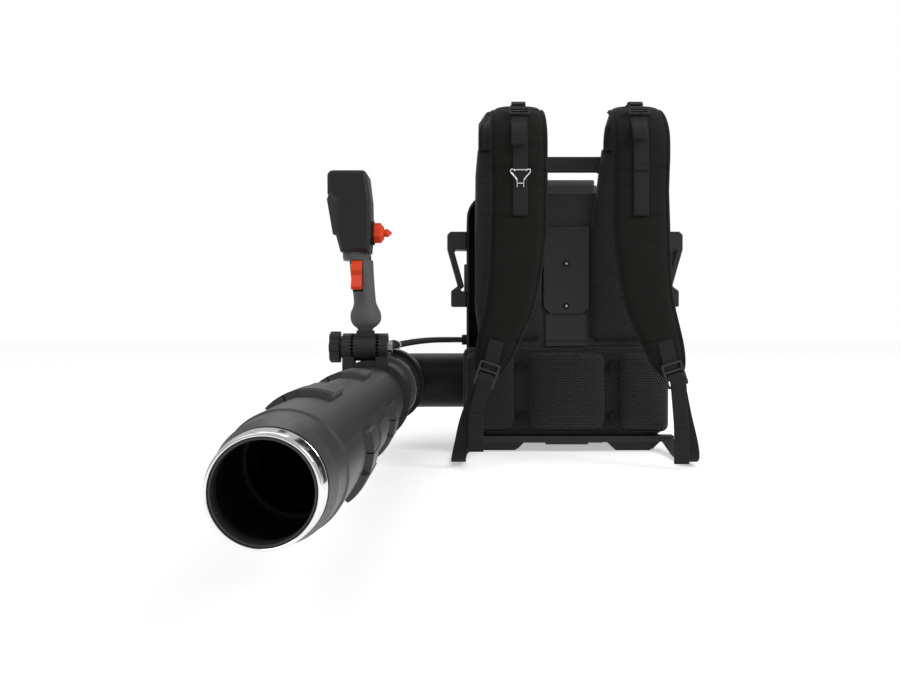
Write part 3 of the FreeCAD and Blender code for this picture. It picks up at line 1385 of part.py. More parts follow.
bracket = ring_solid([(val("tube_radius"), val(bracket_front)), (val("bracket_ring"), val(bracket_front)),
    (val("bracket_ring"), val(bracket_back)), (val("tube_radius"), val(bracket_back))])
ring_only = Part.makeCylinder(val("tube_radius"), 2 * val("bracket_width"),
    V(tube_x, val("bracket_place") - val("bracket_width"), tube_z), V(0, 1, 0))
neck = val("ear_neck")
for side in (1, -1):
    start = val(ear_inner) if side > 0 else -val(ear_outer)
    ear = across_rod(val("ear_radius"), start, val("ear_thickness"))
    post = Part.makeBox(val("ear_thickness"), 2 * neck, val("pivot_height") - tube_z - val("tube_radius") / 2,
        V(pivot.x + start, pivot.y - neck, tube_z + val("tube_radius") / 2))
    leg_start = start - (val("leg_spread") if side > 0 else 0)
    leg = Part.makeBox(val("ear_thickness + leg_spread"), 2 * neck,
        val("pivot_height - leg_top") - tube_z - val("tube_radius") / 2,
        V(pivot.x + leg_start, pivot.y - neck, tube_z + val("tube_radius") / 2))
    bracket = bracket.fuse([ear, post.cut(ring_only), leg.cut(ring_only)])
    bracket = bracket.fuse(teeth(pivot.x + side * val(ear_inner), -side))
clamp_gap = val("clamp_gap")
boss_width = 2 * val("clamp_boss") + clamp_gap
boss = Part.makeBox(2 * val("clamp_boss"), val("bracket_width"), boss_width,
    V(tube_x + val("bracket_ring") - 4, val(bracket_front), tube_z - boss_width / 2))
boss_hole = Part.makeCylinder(val("bracket_bolt_radius"), boss_width,
    V(tube_x + val("bracket_ring") + val("clamp_boss"), val("bracket_place"), tube_z - boss_width / 2))
split = Part.makeBox(4 * val("clamp_boss"), val("bracket_width"), clamp_gap,
    V(tube_x + val("tube_radius") - 2, val(bracket_front), tube_z - clamp_gap / 2))
boss = boss.cut(ring_only)
boss_turn = val("boss_turn")
for piece in (boss, boss_hole, split):
    piece.rotate(V(tube_x, 0, tube_z), V(0, 1, 0), boss_turn)
bracket = bracket.fuse(boss).cut([boss_hole, split])
socket_line = (ROUTE[-1] - ROUTE[-2]).normalize()
socket = Part.makeCylinder(val("cable_radius + socket_wall"), val("socket_length"), ROUTE[-1], socket_line)
cable_room = Part.makeCylinder(val("cable_radius + moving_gap"), val("socket_length"),
    ROUTE[-1] - socket_line * val("socket_length"), socket_line)
bracket = bracket.fuse(socket).cut(cable_room)
hub_room = val(ear_tips)
bracket = bracket.cut(across_rod(val("hub_radius + moving_gap"), -hub_room, 2 * hub_room))
bracket = bracket.cut(across_rod(val("pivot_bolt_radius + moving_gap"), -val(ear_outer), 2 * val(ear_outer)))
keep(shaped("bracket", bracket.removeSplitter()), "handle_bracket")
bolt_shank = boss_hole
bolt_head = Part.makeCylinder(val("bracket_bolt_head"), val("bracket_bolt_radius") * 1.6,
    V(tube_x + val("bracket_ring") + val("clamp_boss"), val("bracket_place"), tube_z + boss_width / 2))
bolt_head.rotate(V(tube_x, 0, tube_z), V(0, 1, 0), boss_turn)
bracket_bolt = shaped("bracket_bolt", bolt_shank.fuse(bolt_head).removeSplitter())

# Clamp knob with the pivot's bolt, and the nut on the other ear
knob_face = -val(ear_outer) - val("moving_gap")
bolt_end = val(ear_outer) + val("pivot_nut_height")
knob = across_rod(val("pivot_bolt_radius"), knob_face - 1, bolt_end - knob_face + 1)
knob = knob.fuse(across_rod(val("knob_stem_radius"), knob_face - val("knob_stem"), val("knob_stem")))
grip_disc = across_rod(val("knob_radius"), knob_face - val("knob_stem") - val("knob_thickness"),
    val("knob_thickness"))
for number in range(int(val("knob_lobes"))):
    turn = 2 * math.pi / val("knob_lobes") * number
    reach_out = val("knob_radius") + val("knob_lobe_depth")
    scallop = across_rod(2 * val("knob_lobe_depth"), knob_face - val("knob_stem") - val("knob_thickness"),
        val("knob_thickness"))
    scallop.translate(V(0, reach_out * math.cos(turn), reach_out * math.sin(turn)))
    grip_disc = grip_disc.cut(scallop)
keep(shaped("knob", knob.fuse(grip_disc).removeSplitter()), "clamp_knob")
pivot_nut = doc.addObject("Part::Prism", "pivot_nut_hex")
pivot_nut.Polygon = 6
bind(pivot_nut, "Circumradius", "pivot_nut_radius")
bind(pivot_nut, "Height", "pivot_nut_height")
place(pivot_nut, (f"-pivot_side + {ear_outer}", "bracket_place", "pivot_height"), FROM_Z["x"])
nut_bore = rod("pivot_nut_bore", "x", ("-pivot_side", "bracket_place", "pivot_height"),
    "pivot_bolt_radius + moving_gap",
    f"{ear_outer} + 2 * pivot_nut_height")
keep(group("bracket_fastener_set", bracket_bolt, cut("pivot_nut_shape", pivot_nut, nut_bore)),
    "bracket_fasteners")


# Throttle grip: lofted ovals that lean outwards, on the toothed hub
def lean_x(height):
    return pivot.x - val("grip_lean") * height


def oval(height, width, depth):
    centre = V(lean_x(height), pivot.y, pivot.z + height)
    curve = Part.Ellipse(centre, max(width, depth) / 2, min(width, depth) / 2)
    if depth > width:
        curve.rotate(Place(centre, Turn(V(0, 0, 1), 90), V(0, 0, 0)))
    return Part.Wire([curve.toShape()])


def tower(stations):
    """A smooth solid through ovals given as height, width and depth."""
    return Part.makeLoft([oval(*(val(text) for text in station)) for station in stations], True, False)


hub = across_rod(val("hub_radius"), -val("hub_half_width - tooth_height"),
    2 * val("hub_half_width - tooth_height"))
hub_base = val("hub_half_width - tooth_height")
hub = hub.fuse(teeth(pivot.x + hub_base, 1) + teeth(pivot.x - hub_base, -1))
neck_half = val("grip_neck_half")
hub = hub.fuse(Part.makeBox(2 * neck_half, 2 * neck_half, val("grip_bottom"),
    V(pivot.x - neck_half, pivot.y - neck_half, pivot.z)))
hub = hub.cut(across_rod(val("pivot_bolt_radius + moving_gap"), -val("hub_half_width"),
    2 * val("hub_half_width")))
keep(shaped("hub", hub.removeSplitter()), "handle_hub")
trigger_half = val("trigger_width / 2 + moving_gap")
trigger_x = lean_x(val("(trigger_low + trigger_high) / 2"))
grip_face = val("grip_waist_depth / 2 + grip_top_depth / 2") / 2


def trigger_solid(grow):
    """The trigger, or with a growth the room that its travel needs."""
    low, high = val("trigger_low") - grow * 3, val("trigger_high") + grow * 2
    front = grip_face + val("trigger_proud")
    back = grip_face - val("trigger_depth") - grow * 24
    relief = 5 if grow == 0 else 0
    points = [(back, low + relief), (back, high - relief), (back + relief, high), (grip_face + 2, high),
        (front - 5, high - 14),
        (front - 8, (low + high) / 2), (front, low + 4), (front - 3, low)]
    points = [point for i, point in enumerate(points) if point != points[i - 1]]
    outline = [V(trigger_x, pivot.y - forward, pivot.z + up) for forward, up in points]
    half = val("trigger_width") / 2 if grow == 0 else trigger_half
    face = Part.Face(Part.makePolygon(outline + outline[:1]))
    face.translate(V(-half, 0, 0))
    return face.extrude(V(2 * half, 0, 0))


pin_up = val("trigger_high") - 6
pin_forward = grip_face - 5


def trigger_pin(radius, half_length):
    return Part.makeCylinder(radius, 2 * half_length, V(trigger_x - half_length, pivot.y - pin_forward,
        pivot.z + pin_up), V(1, 0, 0))


half_way = "({0}_{2} + {1}_{2}) / 2"
grip_stations = [("grip_bottom", "grip_bottom_width", "grip_bottom_depth"),
    ("(grip_bottom + grip_bulb) / 2", half_way.format("grip_bottom", "grip_bulb", "width") + " + grip_swell",
    half_way.format("grip_bottom", "grip_bulb", "depth") + " + grip_swell"),
    ("grip_bulb", "grip_bulb_width", "grip_bulb_depth")]
for lower, upper in (("grip_bulb", "grip_waist"), ("grip_waist", "grip_top")):
    grip_stations.append((f"({lower} + {upper}) / 2", half_way.format(lower, upper, "width"),
        half_way.format(lower, upper, "depth")))
    grip_stations.append((upper, upper + "_width", upper + "_depth"))
grip = tower(grip_stations)
pin_half = val("trigger_width") / 2 + 4
grip = grip.cut([trigger_solid(0.35), trigger_pin(val("trigger_pin_radius"), pin_half)])
seam_turn = math.degrees(math.atan(val("grip_lean")))
for side, word in SIDES:
    half_space = Part.makeBox(reach, reach, 2 * reach, V(pivot.x - (reach if side < 0 else 0),
        pivot.y - reach / 2, pivot.z - reach))
    half_space.rotate(pivot, V(0, 1, 0), -seam_turn)
    keep(shaped(f"grip_half_{word}", grip.common(half_space)), f"grip_shell_{word}")
trigger = trigger_solid(0).cut(trigger_pin(val("trigger_pin_radius + moving_gap"), pin_half))
keep(shaped("trigger_shape", trigger), "trigger")
keep(shaped("pin", trigger_pin(val("trigger_pin_radius"), pin_half)), "trigger_pin")
keep(shaped("collar", tower([("grip_top", "collar_width", "collar_depth"),
    ("(grip_top + collar_top) / 2", "collar_width + 1",
    "collar_depth + 1"),
    ("collar_top", "collar_width", "collar_depth")])), "grip_collar")
# The head's chosen outline from the front: height above the pivot, and distance beside the leaning middle line
HEAD_LEFT = [(160, -24.5), (207, -21.1), (218, -31.0)]
HEAD_RIGHT = [(211, 29.0), (162, 25.4), (145, 21.8)]
DISPLAY_OUTLINE = HEAD_LEFT + [(212, -33.7), (162, -29.9)]


def side_plate(outline, depth):
    """A plate square to Y with this outline, as deep as given, in the middle of the handle."""
    corners = [V(lean_x(height) + beside, pivot.y - depth / 2, pivot.z + height) for height,
        beside in outline]
    return Part.Face(Part.makePolygon(corners + corners[:1])).extrude(V(0, depth, 0))


head_bottom = val("head_bottom_width") / 2
head_crown = val("head_top_width") / 2
outline = [(val("collar_top"), -head_bottom)] + HEAD_LEFT + [(val("head_top"), -head_crown),
    (val("head_top"), head_crown)]
outline += HEAD_RIGHT + [(val("collar_top"), head_bottom)]
head = side_plate(outline, val("head_mid_depth"))
head = head.makeFillet(val("head_round"), [edge for edge in head.Edges
    if along("y")(edge) and edge.CenterOfMass.z > pivot.z + val("head_top") - 1])
head_sides = pivot.y - val("head_mid_depth") / 2, pivot.y + val("head_mid_depth") / 2
head = head.makeChamfer(val("head_edge"), [edge for edge in head.Edges
    if any(abs(vertex.Y - face) < 0.01 for face in head_sides for vertex in edge.Vertexes[:1])
    and not along("y")(edge)])

# Speed dial on the head's inner side, on a boss
dial_at = V(lean_x(val("dial_place")), pivot.y, pivot.z + val("dial_place"))
dial_start = val("head_half_width")


def dial_rod(radius, start, length):
    return Part.makeCylinder(radius, length, dial_at + V(start, 0, 0), V(1, 0, 0))


head = head.fuse(dial_rod(val("dial_flange_radius"), 0, dial_start + val("dial_boss")))
head = head.cut(dial_rod(val("dial_stem_radius + moving_gap"), dial_start - 12, val("dial_boss") + 13))
dial_low = dial_start + val("dial_boss + moving_gap")


def octagon(radius, start):
    corners = []
    for number in range(8):
        turn = math.radians(45 * number + 22.5)
        corners.append(dial_at + V(start, radius * math.cos(turn), radius * math.sin(turn)))
    return Part.makePolygon(corners + corners[:1])


dial_mid = dial_low + val("dial_base")
dial_neck = dial_mid + val("dial_bevel")
dial_end = dial_neck + val("dial_tip")
dial = Part.makeLoft([octagon(val("dial_radius"), dial_low), octagon(val("dial_radius"), dial_mid),
    octagon(val("dial_neck_radius"), dial_neck)], True, True)
dial = dial.fuse(Part.makeLoft([octagon(val("dial_tip_radius") - 1, dial_neck - 1),
    octagon(val("dial_tip_radius"), dial_end),
    octagon(val("dial_tip_radius") / 6, dial_end + val("dial_point"))], True, True))
dial = dial.fuse(dial_rod(val("dial_stem_radius"), dial_start - 10, dial_low - dial_start + 11))
keep(shaped("dial", dial.removeSplitter()), "speed_dial")

# Display on the head's outer side, and the boost button at the back of the head
keep(shaped("display_shape", side_plate(DISPLAY_OUTLINE, val("display_width"))), "display_panel")
button_up = val("head_mid") + 30
button_at = V(lean_x(button_up), pivot.y, pivot.z + button_up)
button_back = val("head_mid_depth") / 2 + val("button_press_proud")


def button_rod(radius, start, length):
    return Part.makeCylinder(radius, length, button_at + V(0, start, 0), V(0, 1, 0))


button_start = button_back - val("button_press_depth")
head = head.cut(button_rod(val("button_press_radius + moving_gap"),
    button_start - val("button_press_travel + moving_gap"),
    2 * val("button_press_depth")))
keep(shaped("button", button_rod(val("button_press_radius"), button_start, val("button_press_depth"))),
    "boost_button")
keep(shaped("head_shape", head), "control_head")


# Shoulder straps: rounded sections along a path over the shoulder
def strap_path():
    """Stations of the path as place along Y, height and direction of travel."""
    back, front = val("strap_back"), val("strap_front")
    back_bend, front_bend, crest = val("strap_back_bend"), val("strap_front_bend"), val("strap_crest")
    stations = [(back, val("back_pad_top + moving_gap"), 90)]
    for angle in (0, 22.5, 45, 67.5, 90):
        turn = math.radians(angle)
        stations.append((back - back_bend * (1 - math.cos(turn)), crest - back_bend * (1 - math.sin(turn)),
            90 + angle))
    for angle in (0, 15, 30, 45, 60, 75, 90):
        turn = math.radians(angle)
        stations.append((front + front_bend * (1 - math.sin(turn)), crest - front_bend * (1 - math.cos(turn)),
            180 + angle))
    for height in ("(strap_chest + strap_crest - strap_front_bend) / 2", "strap_chest", "strap_low",
            "strap_lower",
            "strap_end + 20", "strap_end"):
        stations.append((front, val(height), 270))
    return stations


def strap_edges(along_y, height):
    """Inner and outer distance from the middle plane at one station."""
    if along_y > val("strap_back - strap_back_bend / 2"):
        return val("strap_back_inner"), val("strap_back_outer")
    if height > val("strap_chest + 60"):
        return val("strap_top_inner"), val("strap_top_outer")
    table = ((val("strap_chest"), "chest"), (val("strap_low"), "low"), (val("strap_lower"), "lower"),
        (val("strap_end + 20"), "end"), (val("strap_end"), "end"))
    word = min(table, key=lambda entry: abs(entry[0] - height))[1]
    inner, outer = val(f"strap_{word}_inner"), val(f"strap_{word}_outer")
    if height < val("strap_end + 1"):
        return inner + (outer - inner) * 0.12, outer - (outer - inner) * 0.12
    return inner, outer


def strap_section(along_y, height, heading, inner, outer, thickness, lift=0.0):
    """A flat loop with round edges, square to the path, lifted off it on the outer side."""
    turn = math.radians(heading)
    outward = V(0, math.sin(turn), -math.cos(turn)) * -1
    if heading <= 91:
        outward = V(0, -1, 0) * -1
    centre = V(0, along_y, height)
    half = thickness / 2
    corner = half * 0.9
    points = []
    for across, up in ((inner + corner, half), (outer - corner, half), (outer, 0), (outer - corner, -half),
            (inner + corner, -half), (inner, 0)):
        points.append(centre + V(across, 0, 0) + outward * (up + lift))
    top_left, top_right, right, bottom_right, bottom_left, left = points
    edges = [Part.LineSegment(top_left, top_right), Part.Arc(top_right, right, bottom_right),
        Part.LineSegment(bottom_right, bottom_left), Part.Arc(bottom_left, left, top_left)]
    return Part.Wire([edge.toShape() for edge in edges])


path = strap_path()
sections = []
for along_y, height, heading in path:
    inner, outer = strap_edges(along_y, height)
    thickness = val("strap_thickness") if height > val("strap_lower + 1") else val("strap_end_thickness")
    sections.append(strap_section(along_y, height, heading, inner, outer, thickness))
both_sides("shoulder_straps", shaped("strap", Part.makeLoft(sections, True, True)))

# Webbing on the front of each strap, held by a buckle near the shoulder
lift = val("strap_thickness / 2 + webbing_thickness / 2 + moving_gap")
web_left = val("webbing_side - webbing_width / 2")
web_right = val("webbing_side + webbing_width / 2")
sections = []
for along_y, height, heading in path:
    turned_over = 200 < heading and height > val("webbing_end")
    if turned_over:
        sections.append(strap_section(along_y, height, heading, web_left, web_right, val("webbing_thickness"),
            -lift))
sections.append(strap_section(val("strap_front"), val("webbing_end"), 270, web_left, web_right,
    val("webbing_thickness"), -lift))
both_sides("strap_webbing", shaped("webbing", Part.makeLoft(sections, True, True)))


def plate_with_slots(width, length, thickness, bar, slots):
    """A buckle: a rounded plate with slots across it, flat in the plane of X and Z, centred on the origin."""
    plate = Part.makeBox(width, thickness, length, V(-width / 2, -thickness / 2, -length / 2))
    plate = plate.makeFillet(bar * 0.9, [edge for edge in plate.Edges if along("y")(edge)])
    slot_length = (length - bar * (slots + 1)) / slots
    for number in range(slots):
        start = -length / 2 + bar + (slot_length + bar) * number
        plate = plate.cut(Part.makeBox(width - 2 * bar, 2 * thickness, slot_length,
            V(-width / 2 + bar, -thickness, start)))
    return plate


ladder_place = "(strap_front - strap_end_thickness / 2 - ladder_thickness / 2 - moving_gap)"

# Top buckles on the bend of each strap, and ladder buckles hanging at the strap ends
top_buckles = []
ladder_buckles = []
bend_turn = math.radians(42)
bend_reach = val("strap_front_bend + strap_thickness / 2 + webbing_thickness + moving_gap * 2 + top_buckle_thickness / 2")
bend_centre = V(0, val("strap_front + strap_front_bend"), val("strap_crest - strap_front_bend"))
for side, word in SIDES:
    buckle = plate_with_slots(val("top_buckle_width"), val("top_buckle_length"), val("top_buckle_thickness"),
        val("buckle_bar"), 2)
    buckle.rotate(V(0, 0, 0), V(1, 0, 0), -math.degrees(bend_turn))
    buckle.translate(bend_centre + V(side * val("webbing_side"), -bend_reach * math.cos(bend_turn),
        bend_reach * math.sin(bend_turn)))
    top_buckles.append(buckle)
    ladder = plate_with_slots(val("ladder_width"), val("ladder_length"), val("ladder_thickness"),
        val("buckle_bar"), 3)
    ladder.rotate(V(0, 0, 0), V(0, 1, 0), -side * val("ladder_tilt"))
    ladder.translate(V(side * val("ladder_side"), val(ladder_place), val("ladder_height")))
    ladder_buckles.append(ladder)
keep(shaped("top_buckle_pair", Part.makeCompound(top_buckles)), "top_buckles")
keep(shaped("ladder_buckle_pair", Part.makeCompound(ladder_buckles)), "ladder_buckles")


def ribbon(points, widths, thickness):
    """A strip through points, each with the direction and half width of its section."""
    sections = []
    for i, (point, across) in enumerate(zip(points, widths)):
        before, after = points[max(i - 1, 0)], points[min(i + 1, len(points) - 1)]
        normal = (after - before).cross(across).normalize() * (thickness / 2)
        corners = [point + across + normal, point - across + normal, point - across - normal,
            point + across - normal]
        sections.append(Part.makePolygon(corners + corners[:1]))
    return Part.makeLoft(sections, True, True)


# Lower webbing: the load strand from the ladder buckle to the deck's corner, and the loose tail in front
half_web = val("webbing_width") / 2
tail_half = val("tail_width") / 2
ladder_foot = val("ladder_height - ladder_length / 2")
web_gap = val("ladder_thickness / 2 + webbing_thickness / 2 + moving_gap")
strand_top = V(val("ladder_side + 6"), val(ladder_place) + web_gap, ladder_foot + 8)
strand_end = V(val("anchor_side"), val("anchor_place - webbing_thickness / 2"),
    val("foot_height - deck_thickness / 2"))
# The load strand hangs slack: down and outwards to the floor, then back along it to the anchor
slack_side, slack_low = val("slack_side"), val("slack_low")
STRAND_BENDS = [(-18, 2, 80), (-6, 4, 34), (0, 16, 10), (0, 40, 0), (-1, 100, 0), (-3, 150, 6)]
strand_points = [strand_top] + [V(slack_side + beside, strand_top.y + behind, slack_low + up) for beside,
    behind, up in STRAND_BENDS]
strand = ribbon(strand_points + [strand_end], [V(half_web, 0, 0)] * (len(strand_points) + 1),
    val("webbing_thickness"))
tail_x, tail_y, tail_z = val("tail_side"), val("tail_place"), val("tail_end")
tail_top = V(val("ladder_side + 4"), val(ladder_place) - web_gap - val("webbing_thickness / 2"),
    ladder_foot + 4)
tail = ribbon([tail_top, tail_top + V(5, 0, -28), V(tail_x, tail_y - 3, tail_z + 48),
    V(tail_x, tail_y - 4, tail_z)],
    [V(half_web, 0, 0), V(half_web, 0, 0), V(tail_half, 0, 0), V(tail_half, 0, 0)],
    val("webbing_thickness") * 2)
both_sides("lower_webbing", shaped("lower_web", Part.makeCompound([strand, tail])))

# Wire hook on the left strap: an eye held by the webbing, and two prongs
hook_y = val("strap_front - strap_thickness / 2 - webbing_thickness - 2 * moving_gap - hook_wire")
hook_x = -val("hook_side")
hook_top, hook_low = val("hook_top"), val("hook_top - hook_drop")
spread = val("hook_half_width")
wire = val("hook_wire")


def wire_run(points, radius):
    """Round wire through points, with a ball at each bend."""
    run = None
    for start, end in zip(points, points[1:]):
        piece = Part.makeCylinder(radius, (end - start).Length, start,
            end - start).fuse(Part.makeSphere(radius, end))
        run = piece if run is None else run.fuse(piece)
    return run.fuse(Part.makeSphere(radius, points[0]))


neck_half = val("hook_neck_half")
neck_height = hook_top - val("hook_neck_drop")
eye = V(hook_x, hook_y, hook_top)
hook = wire_run([eye - V(spread, 0, 0), eye + V(spread, 0, 0)], wire)
hook = hook.fuse(wire_run([V(hook_x - neck_half, hook_y, neck_height - 5),
    V(hook_x + neck_half, hook_y, neck_height - 5)], wire))
for side in (1, -1):
    hook = hook.fuse(wire_run([eye + V(side * spread, 0, 0),
        V(hook_x + side * neck_half, hook_y, neck_height),
        V(hook_x + side * neck_half, hook_y, hook_low)], wire))
keep(shaped("hook", hook), "wire_hook")

# Cable from its gland along its path, over the cuff where a tie holds it
gland_at = ("-housing_half_width - gland_length", "gland_place", "gland_height")
gland_rod = rod("gland_rod", "x", gland_at, "gland_radius", "gland_length")
keep(gland_rod, "cable_gland")

def run_middle(index):
    return (ROUTE[index] + ROUTE[index + 1]) * 0.5


def cord(name, points):
    """A round tube along straight runs joined by arcs as large as the runs allow."""
    edges = []
    start = points[0]
    radii = []
    for before, corner, after in zip(points, points[1:], points[2:]):
        back, ahead = before - corner, after - corner
        turn = math.pi - back.getAngle(ahead)
        trim = 0.45 * min(back.Length, ahead.Length)
        radii.append(trim / math.tan(turn / 2))
        arc_start = corner + V(back).normalize() * trim
        arc_end = corner + V(ahead).normalize() * trim
        bisector = (V(back).normalize() + V(ahead).normalize()).normalize()
        centre_gap = radii[-1] / math.cos(turn / 2)
        middle = corner + bisector * (centre_gap - radii[-1])
        edges += [Part.LineSegment(start, arc_start).toShape(),
            Part.Arc(arc_start, middle, arc_end).toShape()]
        start = arc_end
    edges.append(Part.LineSegment(start, points[-1]).toShape())
    line = Part.Wire(edges)
    circle = Part.Wire([Part.Circle(points[0], points[1] - points[0], val("cable_radius")).toShape()])
    tube = line.makePipeShell([circle], True, False)
    volume = math.pi * val("cable_radius") ** 2 * line.Length
    print(f"{name}: length {line.Length:.1f}, volume ratio {tube.Volume / volume:.4f}, radii",
        " ".join(f"{radius:.0f}" for radius in radii))
    return keep(shaped(name + "_tube", tube), name)


tie_point, sleeve_point = run_middle(TIE_RUN), run_middle(SLEEVE_RUN)
cord("cable_rear", ROUTE[:TIE_RUN + 1] + [tie_point])
cord("cable_middle", [tie_point] + ROUTE[TIE_RUN + 1:SLEEVE_RUN + 1] + [sleeve_point])
cord("cable_front", [sleeve_point] + ROUTE[SLEEVE_RUN + 1:])
tie_inner = val("cable_radius + moving_gap")
tie_outer = tie_inner + val("tie_thickness")
tie_axis = (ROUTE[TIE_RUN + 1] - ROUTE[TIE_RUN]).normalize()
tie_start = tie_point - tie_axis * (val("tie_width") / 2)
tie = Part.makeCylinder(tie_outer, val("tie_width"), tie_start, tie_axis)
foot = Part.makeBox(val("tie_width"), val("tie_width"), tie_outer + 8,
    tie_point - V(val("tie_width") / 2, val("tie_width") / 2, tie_outer + 8))
cuff_core = Part.makeCylinder(cuff_radius, 4 * val("tie_width"),
    V(tube_x, tie_point.y - 2 * val("tie_width"), tube_z), V(0, 1, 0))
tie = tie.fuse([foot.cut(cuff_core)]).cut(Part.makeCylinder(tie_inner, 3 * val("tie_width"),
    tie_point - tie_axis * (1.5 * val("tie_width")), tie_axis))
keep(shaped("tie", tie.removeSplitter()), "cable_tie")

# Checks and export
doc.recompute()
faults = []
for thing in doc.Objects:
    if any(word in state for state in thing.State for word in ("Invalid", "Error")):
        faults.append(f"{thing.Name}: {thing.State}")
for node in NODES:
    shape = node.Shape
    if shape.isNull() or not shape.isValid() or not shape.Solids:
        faults.append(f"{node.Label}: bad shape")
if faults:
    raise RuntimeError(", ".join(faults))
os.makedirs("parts", exist_ok=True)
for node in NODES:
    node.Shape.exportStep(f"parts/{node.Label}.step")
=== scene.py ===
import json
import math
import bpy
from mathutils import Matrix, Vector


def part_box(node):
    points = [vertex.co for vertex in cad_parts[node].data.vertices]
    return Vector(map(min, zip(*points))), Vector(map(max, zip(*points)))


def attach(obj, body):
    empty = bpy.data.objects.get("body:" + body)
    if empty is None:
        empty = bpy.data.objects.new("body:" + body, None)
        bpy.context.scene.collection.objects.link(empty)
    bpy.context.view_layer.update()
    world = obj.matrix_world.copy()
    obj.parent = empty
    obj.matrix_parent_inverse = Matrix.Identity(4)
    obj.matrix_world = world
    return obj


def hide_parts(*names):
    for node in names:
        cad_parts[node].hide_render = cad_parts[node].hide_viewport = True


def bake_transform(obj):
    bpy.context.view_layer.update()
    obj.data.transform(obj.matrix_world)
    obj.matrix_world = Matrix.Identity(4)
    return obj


bl_info = {
    "name": "Backpack Leaf Blower",
    "version": (1, 0, 0),
    "blender": (4, 5, 0),
    "location": "View3D > Sidebar > Blower",
    "description": "Harness, cable, tube and finishes of a backpack leaf blower, over its packed solids",
    "category": "Add Mesh",
}

import bpy
import numpy as np
from bpy.props import FloatProperty, FloatVectorProperty, IntProperty, PointerProperty

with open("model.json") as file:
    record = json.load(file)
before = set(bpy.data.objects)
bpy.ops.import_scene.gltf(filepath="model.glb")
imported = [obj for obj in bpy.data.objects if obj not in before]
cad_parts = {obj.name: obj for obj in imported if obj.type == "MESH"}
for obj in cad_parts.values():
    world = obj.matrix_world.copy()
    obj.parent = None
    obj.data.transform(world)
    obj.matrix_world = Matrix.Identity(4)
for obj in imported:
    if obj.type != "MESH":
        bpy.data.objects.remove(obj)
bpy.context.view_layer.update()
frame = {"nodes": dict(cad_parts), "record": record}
# Where the tube's axis runs
TUBE_SIDE, TUBE_HEIGHT = -0.321, 0.1205
# Sign of X and word for each side, as the photograph shows them
SIDES = ((-1, "left"), (1, "right"))


def linear(code):
    """Linear colour of an sRGB hex value."""
    parts = np.array([int(code[place:place + 2], 16) for place in (1, 3, 5)]) / 255
    parts = np.where(parts <= 0.04045, parts / 12.92, ((parts + 0.055) / 1.055) ** 2.4)
    return (*(float(part) for part in parts), 1.0)


# Sizes and colours that a user would change
class HarnessSizes(bpy.types.PropertyGroup):
    mesh_pitch: FloatProperty(
        name="Mesh pitch", description="Distance between the mesh's holes", default=0.0050, unit="LENGTH")
    strap_foam: FloatProperty(
        name="Strap foam", description="Thickness of a strap at its middle", default=0.018, unit="LENGTH")
    binding: FloatProperty(
        name="Binding", description="Width of the bound edge of a strap", default=0.007, unit="LENGTH")
    webbing_width: FloatProperty(
        name="Webbing width", description="Width of the black webbing", default=0.0235, unit="LENGTH")
    webbing_thickness: FloatProperty(
        name="Webbing thickness", description="Thickness of the webbing", default=0.0018, unit="LENGTH")


class BlowerSizes(bpy.types.PropertyGroup):
    conduit_pitch: FloatProperty(
        name="Conduit pitch", description="Distance between its ribs", default=0.0037, unit="LENGTH")
    conduit_radius: FloatProperty(
        name="Conduit radius", description="Outside radius of the conduit", default=0.00575, unit="LENGTH")
    bellows_folds: IntProperty(name="Bellows folds", description="Number of folds in the bellows", default=8)


class FinishColours(bpy.types.PropertyGroup):
    shell: FloatVectorProperty(
        name="Shell", description="Housing and frame", subtype="COLOR", size=4, default=linear("#1c1c1d"))
    tube: FloatVectorProperty(
        name="Tube", description="Blower tube", subtype="COLOR", size=4, default=linear("#2a2a2b"))
    grip: FloatVectorProperty(
        name="Grip", description="Soft grip", subtype="COLOR", size=4, default=linear("#565657"))
    accent: FloatVectorProperty(
        name="Accent", description="Trigger and dial", subtype="COLOR", size=4, default=linear("#de3e10"))
    cover: FloatVectorProperty(
        name="Cover", description="Woven strap cover", subtype="COLOR", size=4, default=linear("#0f0e0c"))
    mesh: FloatVectorProperty(
        name="Mesh", description="Spacer mesh yarn", subtype="COLOR", size=4, default=linear("#1e1e1f"))


# Nodes
SMOOTH = {"interpolation_type": "SMOOTHSTEP"}


def new_material(name):
    """An empty material and its node tree."""
    material = bpy.data.materials.new(name)
    material.use_nodes = True
    material.node_tree.nodes.clear()
    return material, material.node_tree


def add(tree, kind, settings=(), links=()):
    """Adds a shader node, sets its properties and socket values, and links its sockets, each from an output
    or from a node whose first output is meant."""
    node = tree.nodes.new("ShaderNode" + kind)
    for key, value in dict(settings).items():
        if isinstance(key, str) and hasattr(node, key):
            setattr(node, key, value)
        else:
            node.inputs[key].default_value = value
    for key, source in dict(links).items():
        output = source.outputs[0] if isinstance(source, bpy.types.Node) else source
        tree.links.new(output, node.inputs[key])
    return node


def shares(colour, low, high):
    """Settings of a mix between two shares of one colour."""
    dark, light = (tuple(part * share for part in colour[:3]) + (1.0,) for share in (low, high))
    return {"data_type": "RGBA", 6: dark, 7: light}


def close(tree, settings, links):
    """Ends a material in a Principled shader with these sockets."""
    add(tree, "OutputMaterial", (), {"Surface": add(tree, "BsdfPrincipled", settings, links)})


def ending(material, name):
    """A finished material's shader socket, and the output that feeds it."""
    shader = next(node for node in material.node_tree.nodes if node.type == "BSDF_PRINCIPLED")
    return shader.inputs[name], shader.inputs[name].links[0].from_socket


def lay_relief(material, height, strength, distance):
    """Lays one more relief over a finished material's own."""
    tree = material.node_tree
    normal, own = ending(material, "Normal")
    both = add(tree, "Bump", {"Strength": strength, "Distance": distance}, {"Height": height, "Normal": own})
    tree.links.new(both.outputs["Normal"], normal)
    return material


